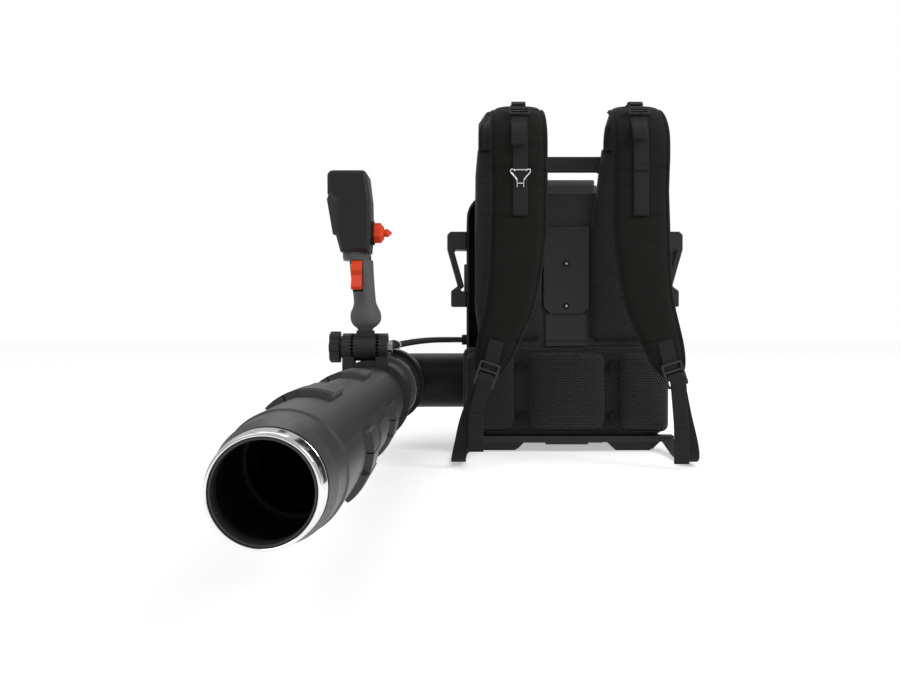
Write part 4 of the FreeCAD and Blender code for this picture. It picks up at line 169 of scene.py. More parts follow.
def banded(tree, low, high, soft):
    """The height, and one between two heights and nothing outside them, with soft ends."""
    height = add(tree, "SeparateXYZ", (), {0: add(tree, "TexCoord").outputs["Object"]}).outputs[2]
    rise = add(tree, "MapRange", {**SMOOTH, 1: low - soft, 2: low + soft}, {0: height})
    fall = add(tree, "MapRange", {**SMOOTH, 1: high - soft, 2: high + soft, 3: 1.0, 4: 0.0}, {0: height})
    return height, add(tree, "Math", {"operation": "MULTIPLY"}, {0: rise, 1: fall})


# Materials
def moulded(name, colour, roughness, grain=0.0011, depth=0.00004, specular=0.4, coat=0.0):
    """Injection-moulded plastic: spark grain from the tool, faint cloudiness, duller where hands rub it."""
    material, tree = new_material(name)
    place = add(tree, "TexCoord").outputs["Object"]
    grains = add(tree, "TexNoise", {"Scale": 1 / grain, "Detail": 2.0}, {"Vector": place})
    clouds = add(tree, "TexNoise", {"Scale": 22.0, "Detail": 3.0}, {"Vector": place})
    tone = add(tree, "Mix", shares(colour, 0.86, 1.14), {0: clouds}).outputs[2]
    rough = add(tree, "MapRange", {3: roughness - 0.06, 4: roughness + 0.08}, {0: clouds})
    bump = add(tree, "Bump", {"Strength": 0.6, "Distance": depth}, {"Height": grains})
    close(tree, {"Specular IOR Level": specular, "Coat Weight": coat, "Coat Roughness": 0.15},
          {"Base Color": tone, "Roughness": rough, "Normal": bump})
    return material


def ribbed_grip(name, colour):
    """Overmoulded elastomer: dull, with shallow finger ribs 4.5 mm apart just above the bulb."""
    material = moulded(name, colour, 0.62, 0.0016, 0.00006, 0.3)
    tree = material.node_tree
    height, band = banded(tree, low=0.247, high=0.272, soft=0.004)
    turns = add(tree, "Math", {"operation": "MULTIPLY", 1: 2 * math.pi / 0.0045}, {0: height})
    wave = add(tree, "Math", {"operation": "SINE"}, {0: turns})
    ribs = add(tree, "Math", {"operation": "MULTIPLY"}, {0: wave, 1: band})
    return lay_relief(material, ribs, strength=0.7, distance=0.0005)


def seamed_head(name, colour):
    """Satin ABS in two halves: a fine dark parting line runs down the front."""
    material = moulded(name, colour, 0.42, 0.0013, 0.00004, 0.35)
    tree = material.node_tree
    place = add(tree, "TexCoord").outputs["Object"]
    line = add(tree, "VectorMath", {"operation": "DOT_PRODUCT", 1: (1.0, 0.0, 0.03)}, {0: place})
    gap = add(tree, "Math", {"operation": "ADD", 1: 0.33885}, {0: line.outputs["Value"]})
    away = add(tree, "Math", {"operation": "ABSOLUTE"}, {0: gap})
    solid = add(tree, "MapRange", {**SMOOTH, 1: 0.0002, 2: 0.0008}, {0: away})
    return lay_relief(material, solid, strength=0.9, distance=0.0006)


def capped(name, low_colour, high_colour, height):
    """Moulded cap whose raised grip is a lighter plastic than its body."""
    material = moulded(name, low_colour, 0.42)
    tree = material.node_tree
    _, band = banded(tree, low=height, high=1.0, soft=0.0004)
    base, own = ending(material, "Base Color")
    mixed = add(tree, "Mix", {"data_type": "RGBA", 7: high_colour}, {0: band, 6: own})
    tree.links.new(mixed.outputs[2], base)
    return material


def drawn_tube(name, colour):
    """Textured tube plastic: fine lengthwise flow marks and a satin sheen that fades where it was handled."""
    material, tree = new_material(name)
    place = add(tree, "TexCoord").outputs["Object"]
    squeezed = add(tree, "Mapping", {"Scale": (260.0, 9.0, 260.0)}, {"Vector": place})
    marks = add(tree, "TexNoise", {"Scale": 1.0, "Detail": 4.0}, {"Vector": squeezed})
    speck = add(tree, "TexNoise", {"Scale": 900.0, "Detail": 1.0}, {"Vector": place})
    both = add(tree, "Math", {"operation": "ADD"}, {0: marks, 1: speck})
    tone = add(tree, "Mix", shares(colour, 0.8, 1.2), {0: marks}).outputs[2]
    rough = add(tree, "MapRange", {3: 0.36, 4: 0.52}, {0: marks})
    bump = add(tree, "Bump", {"Strength": 0.35, "Distance": 0.00005}, {"Height": both})
    close(tree, {"Specular IOR Level": 0.5}, {"Base Color": tone, "Roughness": rough, "Normal": bump})
    return material


def metal(name, colour, roughness, streak, plane=(40.0, 40.0, 900.0)):
    """Bare or plated metal: plain reflection, with turning or polishing marks drawn along one direction."""
    material, tree = new_material(name)
    place = add(tree, "TexCoord").outputs["Object"]
    squeezed = add(tree, "Mapping", {"Scale": plane}, {"Vector": place})
    marks = add(tree, "TexNoise", {"Scale": 1.0, "Detail": 3.0}, {"Vector": squeezed})
    tone = add(tree, "Mix", shares(colour, 0.92, 1.0), {0: marks}).outputs[2]
    rough = add(tree, "MapRange", {3: max(roughness - streak, 0.02), 4: roughness + streak}, {0: marks})
    bump = add(tree, "Bump", {"Strength": 0.2, "Distance": streak * 0.0002}, {"Height": marks})
    close(tree, {"Metallic": 1.0}, {"Base Color": tone, "Roughness": rough, "Normal": bump})
    return material


def lattice_distance(tree, place, pitch):
    """Distance, in pitches, to the nearest point of a honeycomb lattice on the piece's own map."""
    row = math.sqrt(3)
    share = (1 / pitch, 1 / pitch / row, 0.0)
    scaled = add(tree, "VectorMath", {"operation": "MULTIPLY", 1: share}, {0: place})
    nearest = []
    for offset in (0.0, 0.5):
        moved = add(tree, "VectorMath", {"operation": "ADD", 1: (offset, offset, 0.0)}, {0: scaled})
        part = add(tree, "VectorMath", {"operation": "FRACTION"}, {0: moved})
        centred = add(tree, "VectorMath", {"operation": "SUBTRACT", 1: (0.5, 0.5, 0.0)}, {0: part})
        whole = add(tree, "VectorMath", {"operation": "MULTIPLY", 1: (1.0, row, 1.0)}, {0: centred})
        nearest.append(add(tree, "VectorMath", {"operation": "LENGTH"}, {0: whole}).outputs["Value"])
    return add(tree, "Math", {"operation": "MINIMUM"}, dict(enumerate(nearest)))


def spacer_mesh(name, colour, pitch):
    """Warp-knitted spacer mesh over foam: a honeycomb of shiny polyester yarn, with painted shade in its open
    cells, which get a twentieth of the yarn's colour.
    """
    material, tree = new_material(name)
    place = add(tree, "UVMap")
    far = lattice_distance(tree, place, pitch)
    yarn = add(tree, "MapRange", {**SMOOTH, 1: 0.27, 2: 0.43}, {0: far})
    fuzz = add(tree, "TexNoise", {"Scale": 2600.0, "Detail": 2.0}, {"Vector": place})
    height = add(tree, "Math", {"operation": "MULTIPLY_ADD", 1: 0.15}, {0: fuzz, 2: yarn})
    # Painted shade: the open cells are darkened to a twentieth of the yarn's colour, for the shade inside
    # them
    tone = add(tree, "Mix", shares(colour, 0.05, 1.0), {0: yarn}).outputs[2]
    rough = add(tree, "MapRange", {3: 0.85, 4: 0.5}, {0: yarn})
    bump = add(tree, "Bump", {"Strength": 0.9, "Distance": 0.0011}, {"Height": height})
    close(tree, {"Specular IOR Level": 0.3, "Sheen Weight": 0.15, "Sheen Roughness": 0.4},
          {"Base Color": tone, "Roughness": rough, "Normal": bump})
    return material


def woven(name, colour, thread, depth, sheen, rib=1.0):
    """Woven polyester: threads cross over and under each other, as coarse as the render needs, and creases
    are soft."""
    material, tree = new_material(name)
    place = add(tree, "UVMap")
    turns = 2 * math.pi / thread
    split = add(tree, "SeparateXYZ", (), {0: place})
    waves = []
    for side, times in ((0, turns), (1, turns * rib)):
        way = add(tree, "Math", {"operation": "MULTIPLY", 1: times}, {0: split.outputs[side]})
        waves.append(add(tree, "Math", {"operation": "SINE"}, {0: way}))
    cross = add(tree, "Math", {"operation": "MULTIPLY"}, dict(enumerate(waves)))
    clouds = add(tree, "TexNoise", {"Scale": 30.0, "Detail": 4.0}, {"Vector": place})
    height = add(tree, "Math", {"operation": "MULTIPLY_ADD", 1: 3.0}, {0: clouds, 2: cross})
    bump = add(tree, "Bump", {"Strength": 0.55, "Distance": depth}, {"Height": height})
    share = add(tree, "Math", {"operation": "MULTIPLY_ADD", 1: 0.25}, {0: cross, 2: clouds})
    tone = add(tree, "Mix", shares(colour, 0.72, 1.28), {0: share}).outputs[2]
    dull = {"Roughness": 0.82, "Specular IOR Level": 0.22, "Sheen Weight": sheen, "Sheen Roughness": 0.5}
    close(tree, dull, {"Base Color": tone, "Normal": bump})
    return material


# Plastics and rubbers by slot: material, colour, roughness, grain, the grain's depth, specular level, coat
MOULDED = {
    # Talc-filled polypropylene, satin: takes broad soft lights
    "frame_plastic": ("moulded polypropylene frame", "shell", 0.48),
    "housing_plastic": ("moulded ABS housing", "shell", 0.42),
    "casing_plastic": ("moulded nylon fan casing", "#1c1c1d", 0.5),
    "vent_plastic": ("grey ABS vent", "#8a8a8b", 0.4),
    # EPDM: no gloss, greyer where it is scuffed
    "rubber": ("EPDM rubber", "#1b1b1b", 0.75, 0.002, 0.0001, 0.25),
    "bellows_rubber": ("EPDM bellows", "#151515", 0.55, 0.002, 0.00008, 0.35),
    # Acetal: buckles shine a little, buttons are dull, and the trigger's is dyed through
    "buckle_plastic": ("acetal buckle", "#1d1d1e", 0.35, 0.0011, 0.00004, 0.45),
    "button_plastic": ("acetal button", "#0b0b0c", 0.55, 0.0011, 0.00004, 0.15),
    "orange_plastic": ("orange acetal", "accent", 0.36, 0.0015, 0.00004, 0.4),
    "conduit": ("polyamide conduit", "#1c1c1d", 0.38, 0.0011, 0.00004, 0.5),
    "battery_plastic": ("moulded ABS battery", "#28282a", 0.45),
    # Blow-moulded: darker and smoother than the tube, without its flow marks
    "elbow_plastic": ("blow-moulded polyethylene elbow", "#0b0b0c", 0.42, 0.003, 0.00006, 0.22),
    "bracket_plastic": ("glass-filled nylon bracket", "#1b1b1c", 0.5, 0.0014, 0.00006),
    "collar_grey": ("grey ABS collar", "#4b4b4c", 0.45),
    "white_plastic": ("white nylon tie", "#d9d9d6", 0.4),
    "display_gloss": ("glossy acrylic window", "#101012", 0.12, 0.01, 0.00001, 0.5, 0.6),
}
# Metals by slot: material, colour, roughness, strength of the marks, and how each axis is squeezed for them
METALS = {
    "aluminium": ("cast aluminium", "#b9babc", 0.45, 0.08),
    "steel": ("zinc-plated steel", "#a9abad", 0.34, 0.06),
    "bright_steel": ("polished stainless steel", "#dcdcda", 0.16, 0.05),
    "brass": ("tinned brass", "#d8b878", 0.3, 0.05),
    "chrome": ("chrome plate", "#e6e6e8", 0.12, 0.02, (30.0, 400.0, 30.0)),
}
FINISH = {}


def make_finishes(scene):
    """All finishes by slot name, each named for the real material."""
    pitch = scene.blower_harness.mesh_pitch

    def chosen(code):
        return linear(code) if code.startswith("#") else tuple(getattr(scene.blower_colours, code))

    for slot, (name, code, *values) in MOULDED.items():
        FINISH[slot] = moulded(name, chosen(code), *values)
    for slot, (name, code, *values) in METALS.items():
        FINISH[slot] = metal(name, chosen(code), *values)
    FINISH.update({
        "mesh_fabric": spacer_mesh("knitted spacer mesh", chosen("mesh"), pitch),
        # Painted shade: the border mesh is given about half the cushions' mesh colour, for the shade in the
        # gaps between the hip cushions
        "pad_fabric": spacer_mesh("knitted border mesh", chosen("#0e0e0f"), pitch),
        # 600 denier polyester: a thread of 0.4 mm is drawn at 1.1 mm, or it would not show
        "strap_fabric": woven("woven polyester cover", chosen("cover"), 0.0011, 0.0003, 0.04),
        # Webbing: threads of 1.6 mm across it, and twice as long along it
        "webbing": woven("woven polyester webbing", chosen("#202021"), 0.0016, 0.0003, 0.08, 0.5),
        "battery_grey": capped("grey ABS battery cap", chosen("#333334"), chosen("#4c4c4d"), 0.5115),
        "tube_plastic": drawn_tube("textured polypropylene tube", chosen("tube")),
        "grip_grey": ribbed_grip("overmoulded TPE grip", chosen("grip")),
        "head_plastic": seamed_head("satin ABS head", chosen("#151516")),
    })


# Meshes
def circle(sides):
    """Angles of points all round a circle."""
    return np.linspace(0, 2 * math.pi, sides, endpoint=False)


def run_along(line):
    """Distance along a line of points, at each of them."""
    return np.concatenate([[0.0], np.cumsum(np.linalg.norm(np.diff(line, axis=0), axis=1))])


def run_round(rings):
    """Distance round each ring, from its first point back to it."""
    spans = np.linalg.norm(np.roll(rings, -1, axis=1) - rings, axis=2)
    return np.concatenate([np.zeros((len(rings), 1)), np.cumsum(spans, axis=1)], axis=1)


def mapped(round_way, length_way):
    """Map of a surface in metres: the way round each ring, and each ring's distance along it."""
    return np.stack([round_way, np.repeat(length_way[:, None], round_way.shape[1], axis=1)], axis=2)


def quads_between(count, size, closed=False):
    """Faces between neighbouring rings, and between the last and the first where closed."""
    i, j = np.meshgrid(np.arange(count if closed else count - 1), np.arange(size), indexing="ij")
    here, there, after = i * size, (i + 1) % count * size, (j + 1) % size
    return np.stack([here + j, here + after, there + after, there + j], axis=2).reshape(-1, 4)


def placed(name, data):
    """A new object in the scene."""
    item = bpy.data.objects.new(name, data)
    bpy.context.scene.collection.objects.link(item)
    return item


def build(name, points, faces, uv, sharp=None):
    """A mesh object from points and groups of faces with equally many corners, turned to face outwards."""
    volume = 0.0
    for group in faces:
        for second in range(1, group.shape[1] - 1):
            a, b, c = points[group[:, 0]], points[group[:, second]], points[group[:, second + 1]]
            volume += float(np.einsum("ij,ij->i", a, np.cross(b, c)).sum())
    if volume < 0:
        faces = [group[:, ::-1] for group in faces]
        uv = None if uv is None else [group[:, ::-1] for group in uv]
    mesh = bpy.data.meshes.new(name)
    mesh.from_pydata(points.tolist(), [], [face for group in faces for face in group.tolist()])
    if uv is not None:
        layer = mesh.uv_layers.new(name="cloth")
        layer.uv.foreach_set("vector", np.concatenate([group.reshape(-1) for group in uv]).astype(np.float32))
    mesh.polygons.foreach_set("use_smooth", np.ones(len(mesh.polygons), dtype=bool))
    mesh.update()
    if sharp is not None:
        mesh.set_sharp_from_angle(angle=math.radians(sharp))
    return placed(name, mesh)


def shell_arrays(rings, ring_uv=None):
    """Points, faces and map of a closed surface through rings: quads between rings and a fan on each end."""
    count, size, _ = rings.shape
    if ring_uv is None:
        ring_uv = mapped(run_round(rings), run_along(rings.mean(axis=1)))
    i, j = np.meshgrid(np.arange(count - 1), np.arange(size), indexing="ij")
    corners = [ring_uv[i, j], ring_uv[i, j + 1], ring_uv[i + 1, j + 1], ring_uv[i + 1, j]]
    quad_uv = np.stack(corners, axis=2).reshape(-1, 4, 2)
    points = np.concatenate([rings.reshape(-1, 3), rings[:1].mean(axis=1), rings[-1:].mean(axis=1)])
    first, last = count * size, count * size + 1
    step = np.arange(size)
    after, end = (step + 1) % size, (count - 1) * size
    low = np.stack([np.full(size, first), after, step], axis=1)
    high = np.stack([np.full(size, last), end + step, end + after], axis=1)
    low_uv = np.stack([ring_uv[0, :-1], ring_uv[0, 1:], ring_uv[0, :-1]], axis=1)
    high_uv = np.stack([ring_uv[-1, :-1], ring_uv[-1, :-1], ring_uv[-1, 1:]], axis=1)
    faces = [quads_between(count, size), np.concatenate([low, high])]
    return points, faces, [quad_uv, np.concatenate([low_uv, high_uv])]


def shell(name, rings, ring_uv=None, sharp=None):
    """One closed surface through rings of points."""
    points, faces, uv = shell_arrays(rings, ring_uv)
    return build(name, points, faces, uv, sharp)


def shells(name, many, ends=True):
    """Several such surfaces as one mesh; without ends they stay open and have no map."""
    points, faces, uv, offset = [], [], [], 0
    for rings in many:
        some, some_faces, some_uv = shell_arrays(rings)
        points.append(some)
        faces += [group + offset for group in some_faces[:None if ends else 1]]
        uv += some_uv
        offset += len(some)
    return build(name, np.concatenate(points), faces, uv if ends else None)


def ahead_of(line):
    """Unit direction of a line at each of its points."""
    ahead = np.gradient(line, axis=0)
    return ahead / np.linalg.norm(ahead, axis=1)[:, None]


def resample(line, step):
    """Points at equal distances along a line of points."""
    spans = run_along(line)
    places = np.linspace(0.0, spans[-1], max(int(spans[-1] / step), 2) + 1)
    return np.stack([np.interp(places, spans, line[:, axis]) for axis in range(3)], axis=1), places


def smooth_line(points, step):
    """A Catmull-Rom line through a few points, at equal distances."""
    points = np.asarray(points, dtype=float)
    padded = np.concatenate([2 * points[:1] - points[1:2], points, 2 * points[-1:] - points[-2:-1]])
    share = np.linspace(0.0, 1.0, 24, endpoint=False)[:, None]
    parts = []
    for a, b, c, d in zip(padded, padded[1:], padded[2:], padded[3:]):
        parts.append(0.5 * (2 * b + (c - a) * share + (2 * a - 5 * b + 4 * c - d) * share ** 2
                            + (3 * b - a - 3 * c + d) * share ** 3))
    return resample(np.concatenate(parts + [points[-1:]]), step)[0]


def ribbon_rings(line, side, half_width, thickness):
    """Rings of a flat strip: a rounded rectangle carried along a line, its width along the side vectors."""
    side = np.broadcast_to(np.asarray(side, dtype=float), line.shape)
    ahead = np.gradient(line, axis=0)
    normal = np.cross(ahead, side)
    normal /= np.linalg.norm(normal, axis=1)[:, None]
    side = side / np.linalg.norm(side, axis=1)[:, None]
    half = np.broadcast_to(half_width, (len(line),))[:, None, None]
    edge = thickness * 0.5
    u = np.concatenate([np.linspace(-1, 1, 9), [1, 1], np.linspace(1, -1, 9), [-1, -1]])
    v = np.concatenate([np.full(9, 1.0), [0.55, -0.55], np.full(9, -1.0), [-0.55, 0.55]])
    pull = np.where(np.abs(u) > 0.99, np.where(np.abs(v) > 0.9, edge * 0.7, 0.0), 0.0)
    reach = u[None, :, None] * half - np.sign(u)[None, :, None] * pull[None, :, None]
    return line[:, None, :] + side[:, None, :] * reach + normal[:, None, :] * (v * edge)[None, :, None]


def strip(points, step, half_width, thickness, side=(1, 0, 0)):
    """Rings of a flat strip along the smooth line through a few points."""
    return ribbon_rings(smooth_line(points, step), side, half_width, thickness)


def settle(piece, body, finish, nodes=()):
    """Gives a piece its finish, and its body when one is given, and hides the nodes that it stands for."""
    piece.data.materials.append(FINISH[finish])
    if body:
        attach(piece, body)
    if nodes:
        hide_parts(*nodes)
    return piece


def lerp_table(table, at):
    """Rows of place and values, read at any place."""
    rows = np.array(sorted(table), dtype=float)
    return [np.interp(at, rows[:, 0], rows[:, column]) for column in range(1, rows.shape[1])]


def softened(values, count):
    """A row of values smoothed a few times, ends kept."""
    values = values.copy()
    for _ in range(count):
        values[1:-1] = 0.25 * values[:-2] + 0.5 * values[1:-1] + 0.25 * values[2:]
    return values


# Shoulder straps
STRAP_BACK, STRAP_FRONT, STRAP_CREST = -0.128, -0.318, 0.584
STRAP_START, STRAP_END = 0.5425, 0.1425
BACK_BEND, FRONT_BEND = 0.035, 0.070
STRAP_COLUMNS = 41
# A strap hangs down its front before the first depth, and its cover is mesh behind the second
FRONT_LIMB, MESH_LIMB = -0.245, -0.185
# Outer and inner distance of a strap's edges from the middle plane, by height on the front limb
STRAP_EDGES = [
    (0.1425, 0.147, 0.137), (0.147, 0.160, 0.128), (0.152, 0.166, 0.1235), (0.160, 0.1685, 0.117),
    (0.173, 0.169, 0.109), (0.190, 0.1675, 0.1005), (0.2045, 0.165, 0.0945), (0.2128, 0.163, 0.0905),
    (0.2366, 0.1575, 0.079), (0.2525, 0.1535, 0.0735), (0.2795, 0.149, 0.0665), (0.319, 0.1465, 0.0595),
    (0.348, 0.1455, 0.0555), (0.378, 0.1445, 0.0515), (0.443, 0.1425, 0.0515), (0.475, 0.1435, 0.0515),
    (0.497, 0.1445, 0.0515), (0.537, 0.1445, 0.0515), (0.554, 0.1435, 0.052), (0.580, 0.1415, 0.0535),
]
STRAP_BACK_EDGES = (0.1595, 0.0665)
# Pressed seams across a strap: height and depth
STRAP_SEAMS = ((0.4775, 0.0024), (0.4015, 0.0028), (0.2035, 0.0024))
# Soft creases of the cover: height, slant, width and depth
STRAP_CREASES = (
    (0.3785, 0.004, 0.004, 0.0008), (0.358, -0.006, 0.005, 0.0009), (0.336, 0.008, 0.006, 0.0007),
    (0.300, -0.010, 0.006, 0.0006), (0.262, 0.012, 0.006, 0.0008), (0.232, -0.008, 0.005, 0.0008),
    (0.452, 0.006, 0.007, 0.0006), (0.508, -0.006, 0.006, 0.0008), (0.534, 0.006, 0.005, 0.0009),
)


def strap_line():
    """A strap's middle line: up the back, over the shoulder in two quarter circles, down the front. Then the
    distance along it of each point."""
    turn = np.linspace(0, math.pi / 2, 14)
    on, up = 1 - np.cos(turn), 1 - np.sin(turn)
    rise = np.stack([np.full(4, STRAP_BACK), np.linspace(STRAP_START, STRAP_CREST - BACK_BEND, 4)], axis=1)
    back = np.stack([STRAP_BACK - BACK_BEND * on, STRAP_CREST - BACK_BEND * up], axis=1)
    front = np.stack([STRAP_FRONT + FRONT_BEND * up, STRAP_CREST - FRONT_BEND * on], axis=1)
    drop = np.linspace(STRAP_CREST - FRONT_BEND - 0.004, STRAP_END, 60)
    line = np.concatenate([rise, back[1:], front, np.stack([np.full(60, STRAP_FRONT), drop], axis=1)])
    return resample(np.stack([np.zeros(len(line)), line[:, 0], line[:, 1]], axis=1), 0.0035)


def strap_edges(line):
    """Outer and inner edge along a strap: the table's in front, closing on the back's over the shoulder."""
    over = np.clip((line[:, 1] + 0.300) / 0.14, 0, 1)
    for front, back in zip(lerp_table(STRAP_EDGES, line[:, 2]), STRAP_BACK_EDGES):
        yield softened(np.where(line[:, 1] < FRONT_LIMB, front, front * (1 - over) + back * over), 2)


def strap_rings(side, thickness, binding):
    """Foam strap. Across it, the foam swells as the root of one minus distance to a power between two bound
    edges, which are round in the same way. Along it, seams and creases press the face in as bell curves."""
    line, places = strap_line()
    outer, inner = strap_edges(line)
    half_width, middle = ((outer - inner) / 2)[:, None], ((outer + inner) / 2)[:, None]
    height = line[:, 2]
    on_front = line[:, 1] < FRONT_LIMB
    tip = np.interp(height, [0.14, 0.17, 0.20], [0.0068, 0.0095, thickness])
    foam = (np.where(on_front & (height < 0.20), tip, thickness) / 2)[:, None]
    height, on_front = height[:, None], on_front[:, None]
    u = np.linspace(-1, 1, STRAP_COLUMNS)[None, :]
    away, share = np.abs(u), binding / half_width
    puff = 0.30 + 0.70 * np.sqrt(np.clip(1 - np.clip(away / (1 - share), 0, 1) ** 2.6, 0, 1))
    edge = np.clip((away - (1 - share)) / share, 0, 1)
    bound = 0.34 * np.sqrt(np.clip(1 - edge ** 4, 0, 1))
    groove = 0.10 * np.exp(-((away - (1 - share)) / (share * 0.18)) ** 2)
    lift = np.where(away > 0.999, 0.0, np.where(edge > 0, bound, puff) - groove)
    bump = np.zeros_like(lift)
    for seam, depth in STRAP_SEAMS:
        bump -= depth * np.exp(-((height - seam - 0.002 * u) / 0.0018) ** 2) * on_front
    for crease, slant, width, depth in STRAP_CREASES:
        fade = 0.5 + 0.5 * np.sin(2.2 * u + 90 * crease)
        bump -= 1.9 * depth * fade * np.exp(-((height - crease - slant * u) / width) ** 2) * on_front
    across = middle + u * half_width
    out = np.cross(ahead_of(line), [1.0, 0.0, 0.0])
    front, back = (
        np.stack([across, line[:, 1, None] + out[:, 1, None] * rise, height + out[:, 2, None] * rise], axis=2)
        for rise in (lift * foam + bump * (away < 0.93), -lift * foam))
    rings = np.concatenate([front, back[:, -2:0:-1]], axis=1)
    rings[:, :, 0] *= side
    round_way = [across, 2 * (middle + half_width) - across[:, -2:0:-1], across[:, :1] + 4 * half_width]
    ring_uv = np.concatenate(round_way, axis=1)
    return rings, mapped(ring_uv, places)


class BLOWER_OT_straps(bpy.types.Operator):
    """Padded shoulder straps with woven covers and bound edges"""
    bl_idname = "blower.straps"
    bl_label = "Shoulder straps"

    def execute(self, context):
        sizes = context.scene.blower_harness
        for side, word in SIDES:
            rings, ring_uv = strap_rings(side, sizes.strap_foam, sizes.binding)
            piece = shell(f"strap_{word}", rings, ring_uv)
            settle(piece, "base", "strap_fabric", ["shoulder_straps"])
            piece.data.materials.append(FINISH["mesh_fabric"])
            # Mesh covers the side towards the wearer, and the whole strap behind the shoulder
            rows, size, _ = rings.shape
            column = np.tile(np.arange(size), rows - 1)
            depth = np.repeat(rings[:-1, :, 1].max(axis=1), size)
            indices = np.zeros(len(piece.data.polygons), dtype=np.int32)
            indices[:len(column)] = (column >= STRAP_COLUMNS - 1) | (depth > MESH_LIMB)
            piece.data.polygons.foreach_set("material_index", indices)
        return {"FINISHED"}


# Pads
PAD_BACK, CUSHION_BACK = -0.1155, -0.1360
# Height on a back pad, and how far its edges are from the middle plane there
PAD_INNER = ([0.197, 0.25, 0.38, 0.45, 0.545], [0.0415, 0.0435, 0.0435, 0.0525, 0.0650])
PAD_OUTER = ([0.197, 0.26, 0.40, 0.50, 0.545], [0.157, 0.1655, 0.1655, 0.1645, 0.1605])
HIP_CUSHIONS = ((-0.182, -0.096, "left"), (-0.067, 0.067, "centre"), (0.096, 0.182, "right"))


def pillow_rings(low, high, edges, back, rim, crown, corner, power, rows=70, columns=41, top_corner=None):
    """A padded panel: rounded outline, and a face that rises from its rim as one minus distance to a power,
    both ways. edges gives its left and right limit at each height."""
    turn = np.linspace(-1, 1, rows)
    share = 0.5 + 0.5 * np.sin(turn * math.pi / 2)
    height = low + (high - low) * share
    inner, outer = edges(height)
    near = np.minimum(height - low, high - height)
    corner = np.where(height - low > high - height, corner if top_corner is None else top_corner, corner)
    curve = corner - np.sqrt(np.clip(corner ** 2 - (corner - near) ** 2, 0, None))
    cut = np.where(near < corner, curve, 0.0)
    inner, outer = inner + cut, outer - cut
    u = np.sin(np.linspace(-1, 1, columns) * math.pi / 2)
    across = (inner + outer)[:, None] / 2 + u[None, :] * (outer - inner)[:, None] / 2
    away, off = np.abs(u)[None, :], np.abs(2 * share - 1)[:, None]
    swell = (1 - away ** power) * (1 - off ** (power * 1.6))
    side = np.sqrt(np.clip(1 - away ** 14, 0, 1)) * np.sqrt(np.clip(1 - off ** 22, 0, 1))
    front = back - rim * side - crown * np.clip(swell, 0, 1) ** 0.75
    front_points = np.stack([across, front, np.repeat(height[:, None], columns, axis=1)], axis=2)
    back_points = front_points[:, -2:0:-1].copy()
    back_points[:, :, 1] = back
    return np.concatenate([front_points, back_points], axis=1)


def pillow_uv(rings, columns):
    """Map of a padded panel: width plus the face's rise across it, and the same up it, in metres."""
    middle = columns // 2
    across = rings[:, :1, 0] + run_round(rings)
    return mapped(across - across[:, middle:middle + 1], run_along(rings[:, middle]))


def back_pad_edges(side, height):
    inner, outer = np.interp(height, *PAD_INNER), np.interp(height, *PAD_OUTER)
    return (inner, outer) if side > 0 else (-outer, -inner)


def upright(left, right):
    """Edges of a panel with upright sides."""
    return lambda height: (np.full_like(height, left), np.full_like(height, right))


def pad(name, finish, node, rings, columns=41):
    """A padded panel with its map and its finish."""
    piece = settle(shell(name, rings, pillow_uv(rings, columns)), "base", finish, [node])


class BLOWER_OT_pads(bpy.types.Operator):
    """Back pads, hip pad and hip cushions in spacer mesh"""
    bl_idname = "blower.pads"
    bl_label = "Back and hip pads"

    def execute(self, context):
        for side, word in SIDES:
            rings = pillow_rings(
                0.1975, 0.5480, lambda height: back_pad_edges(side, height), PAD_BACK, rim=0.0135,
                crown=0.0098, corner=0.016, power=3.0, top_corner=0.004)
            pad(f"back_pad_{word}", "mesh_fabric", "back_pads", rings)
        # The hip pad's cover takes the darker border mesh, whose colour is painted shade for the gaps between
        # the cushions
        rings = pillow_rings(0.0335, 0.1875, upright(-0.1865, 0.1865), PAD_BACK, rim=0.0190, crown=0.002,
                             corner=0.014, power=8.0, rows=60, columns=61)
        pad("hip_pad_cover", "pad_fabric", "hip_pad", rings, 61)
        for start, end, word in HIP_CUSHIONS:
            rings = pillow_rings(0.041, 0.178, upright(start, end), CUSHION_BACK, rim=0.0075, crown=0.0115,
                                 corner=0.015, power=2.2, rows=60)
            pad(f"hip_cushion_{word}", "mesh_fabric", "hip_cushions", rings)
        return {"FINISHED"}


# Webbing
WEBBING_SIDE = 0.096
# Run of the strand through a ladder buckle: distance down the buckle, and depth
BUCKLE_WRAP = ((-0.001, -0.3262), (0.003, -0.3300), (0.008, -0.3316), (0.015, -0.3318), (0.022, -0.3312),
               (0.027, -0.3275))


def strap_surface(low, lift):
    """Points in front of a strap's middle line by a distance, over the shoulder and down to a height."""
    line, _ = strap_line()
    out = np.cross(ahead_of(line), [1.0, 0.0, 0.0])
    keep = (line[:, 1] < FRONT_LIMB) & ((line[:, 2] > low) | (line[:, 1] > -0.30))
    return line[keep] + out[keep] * lift


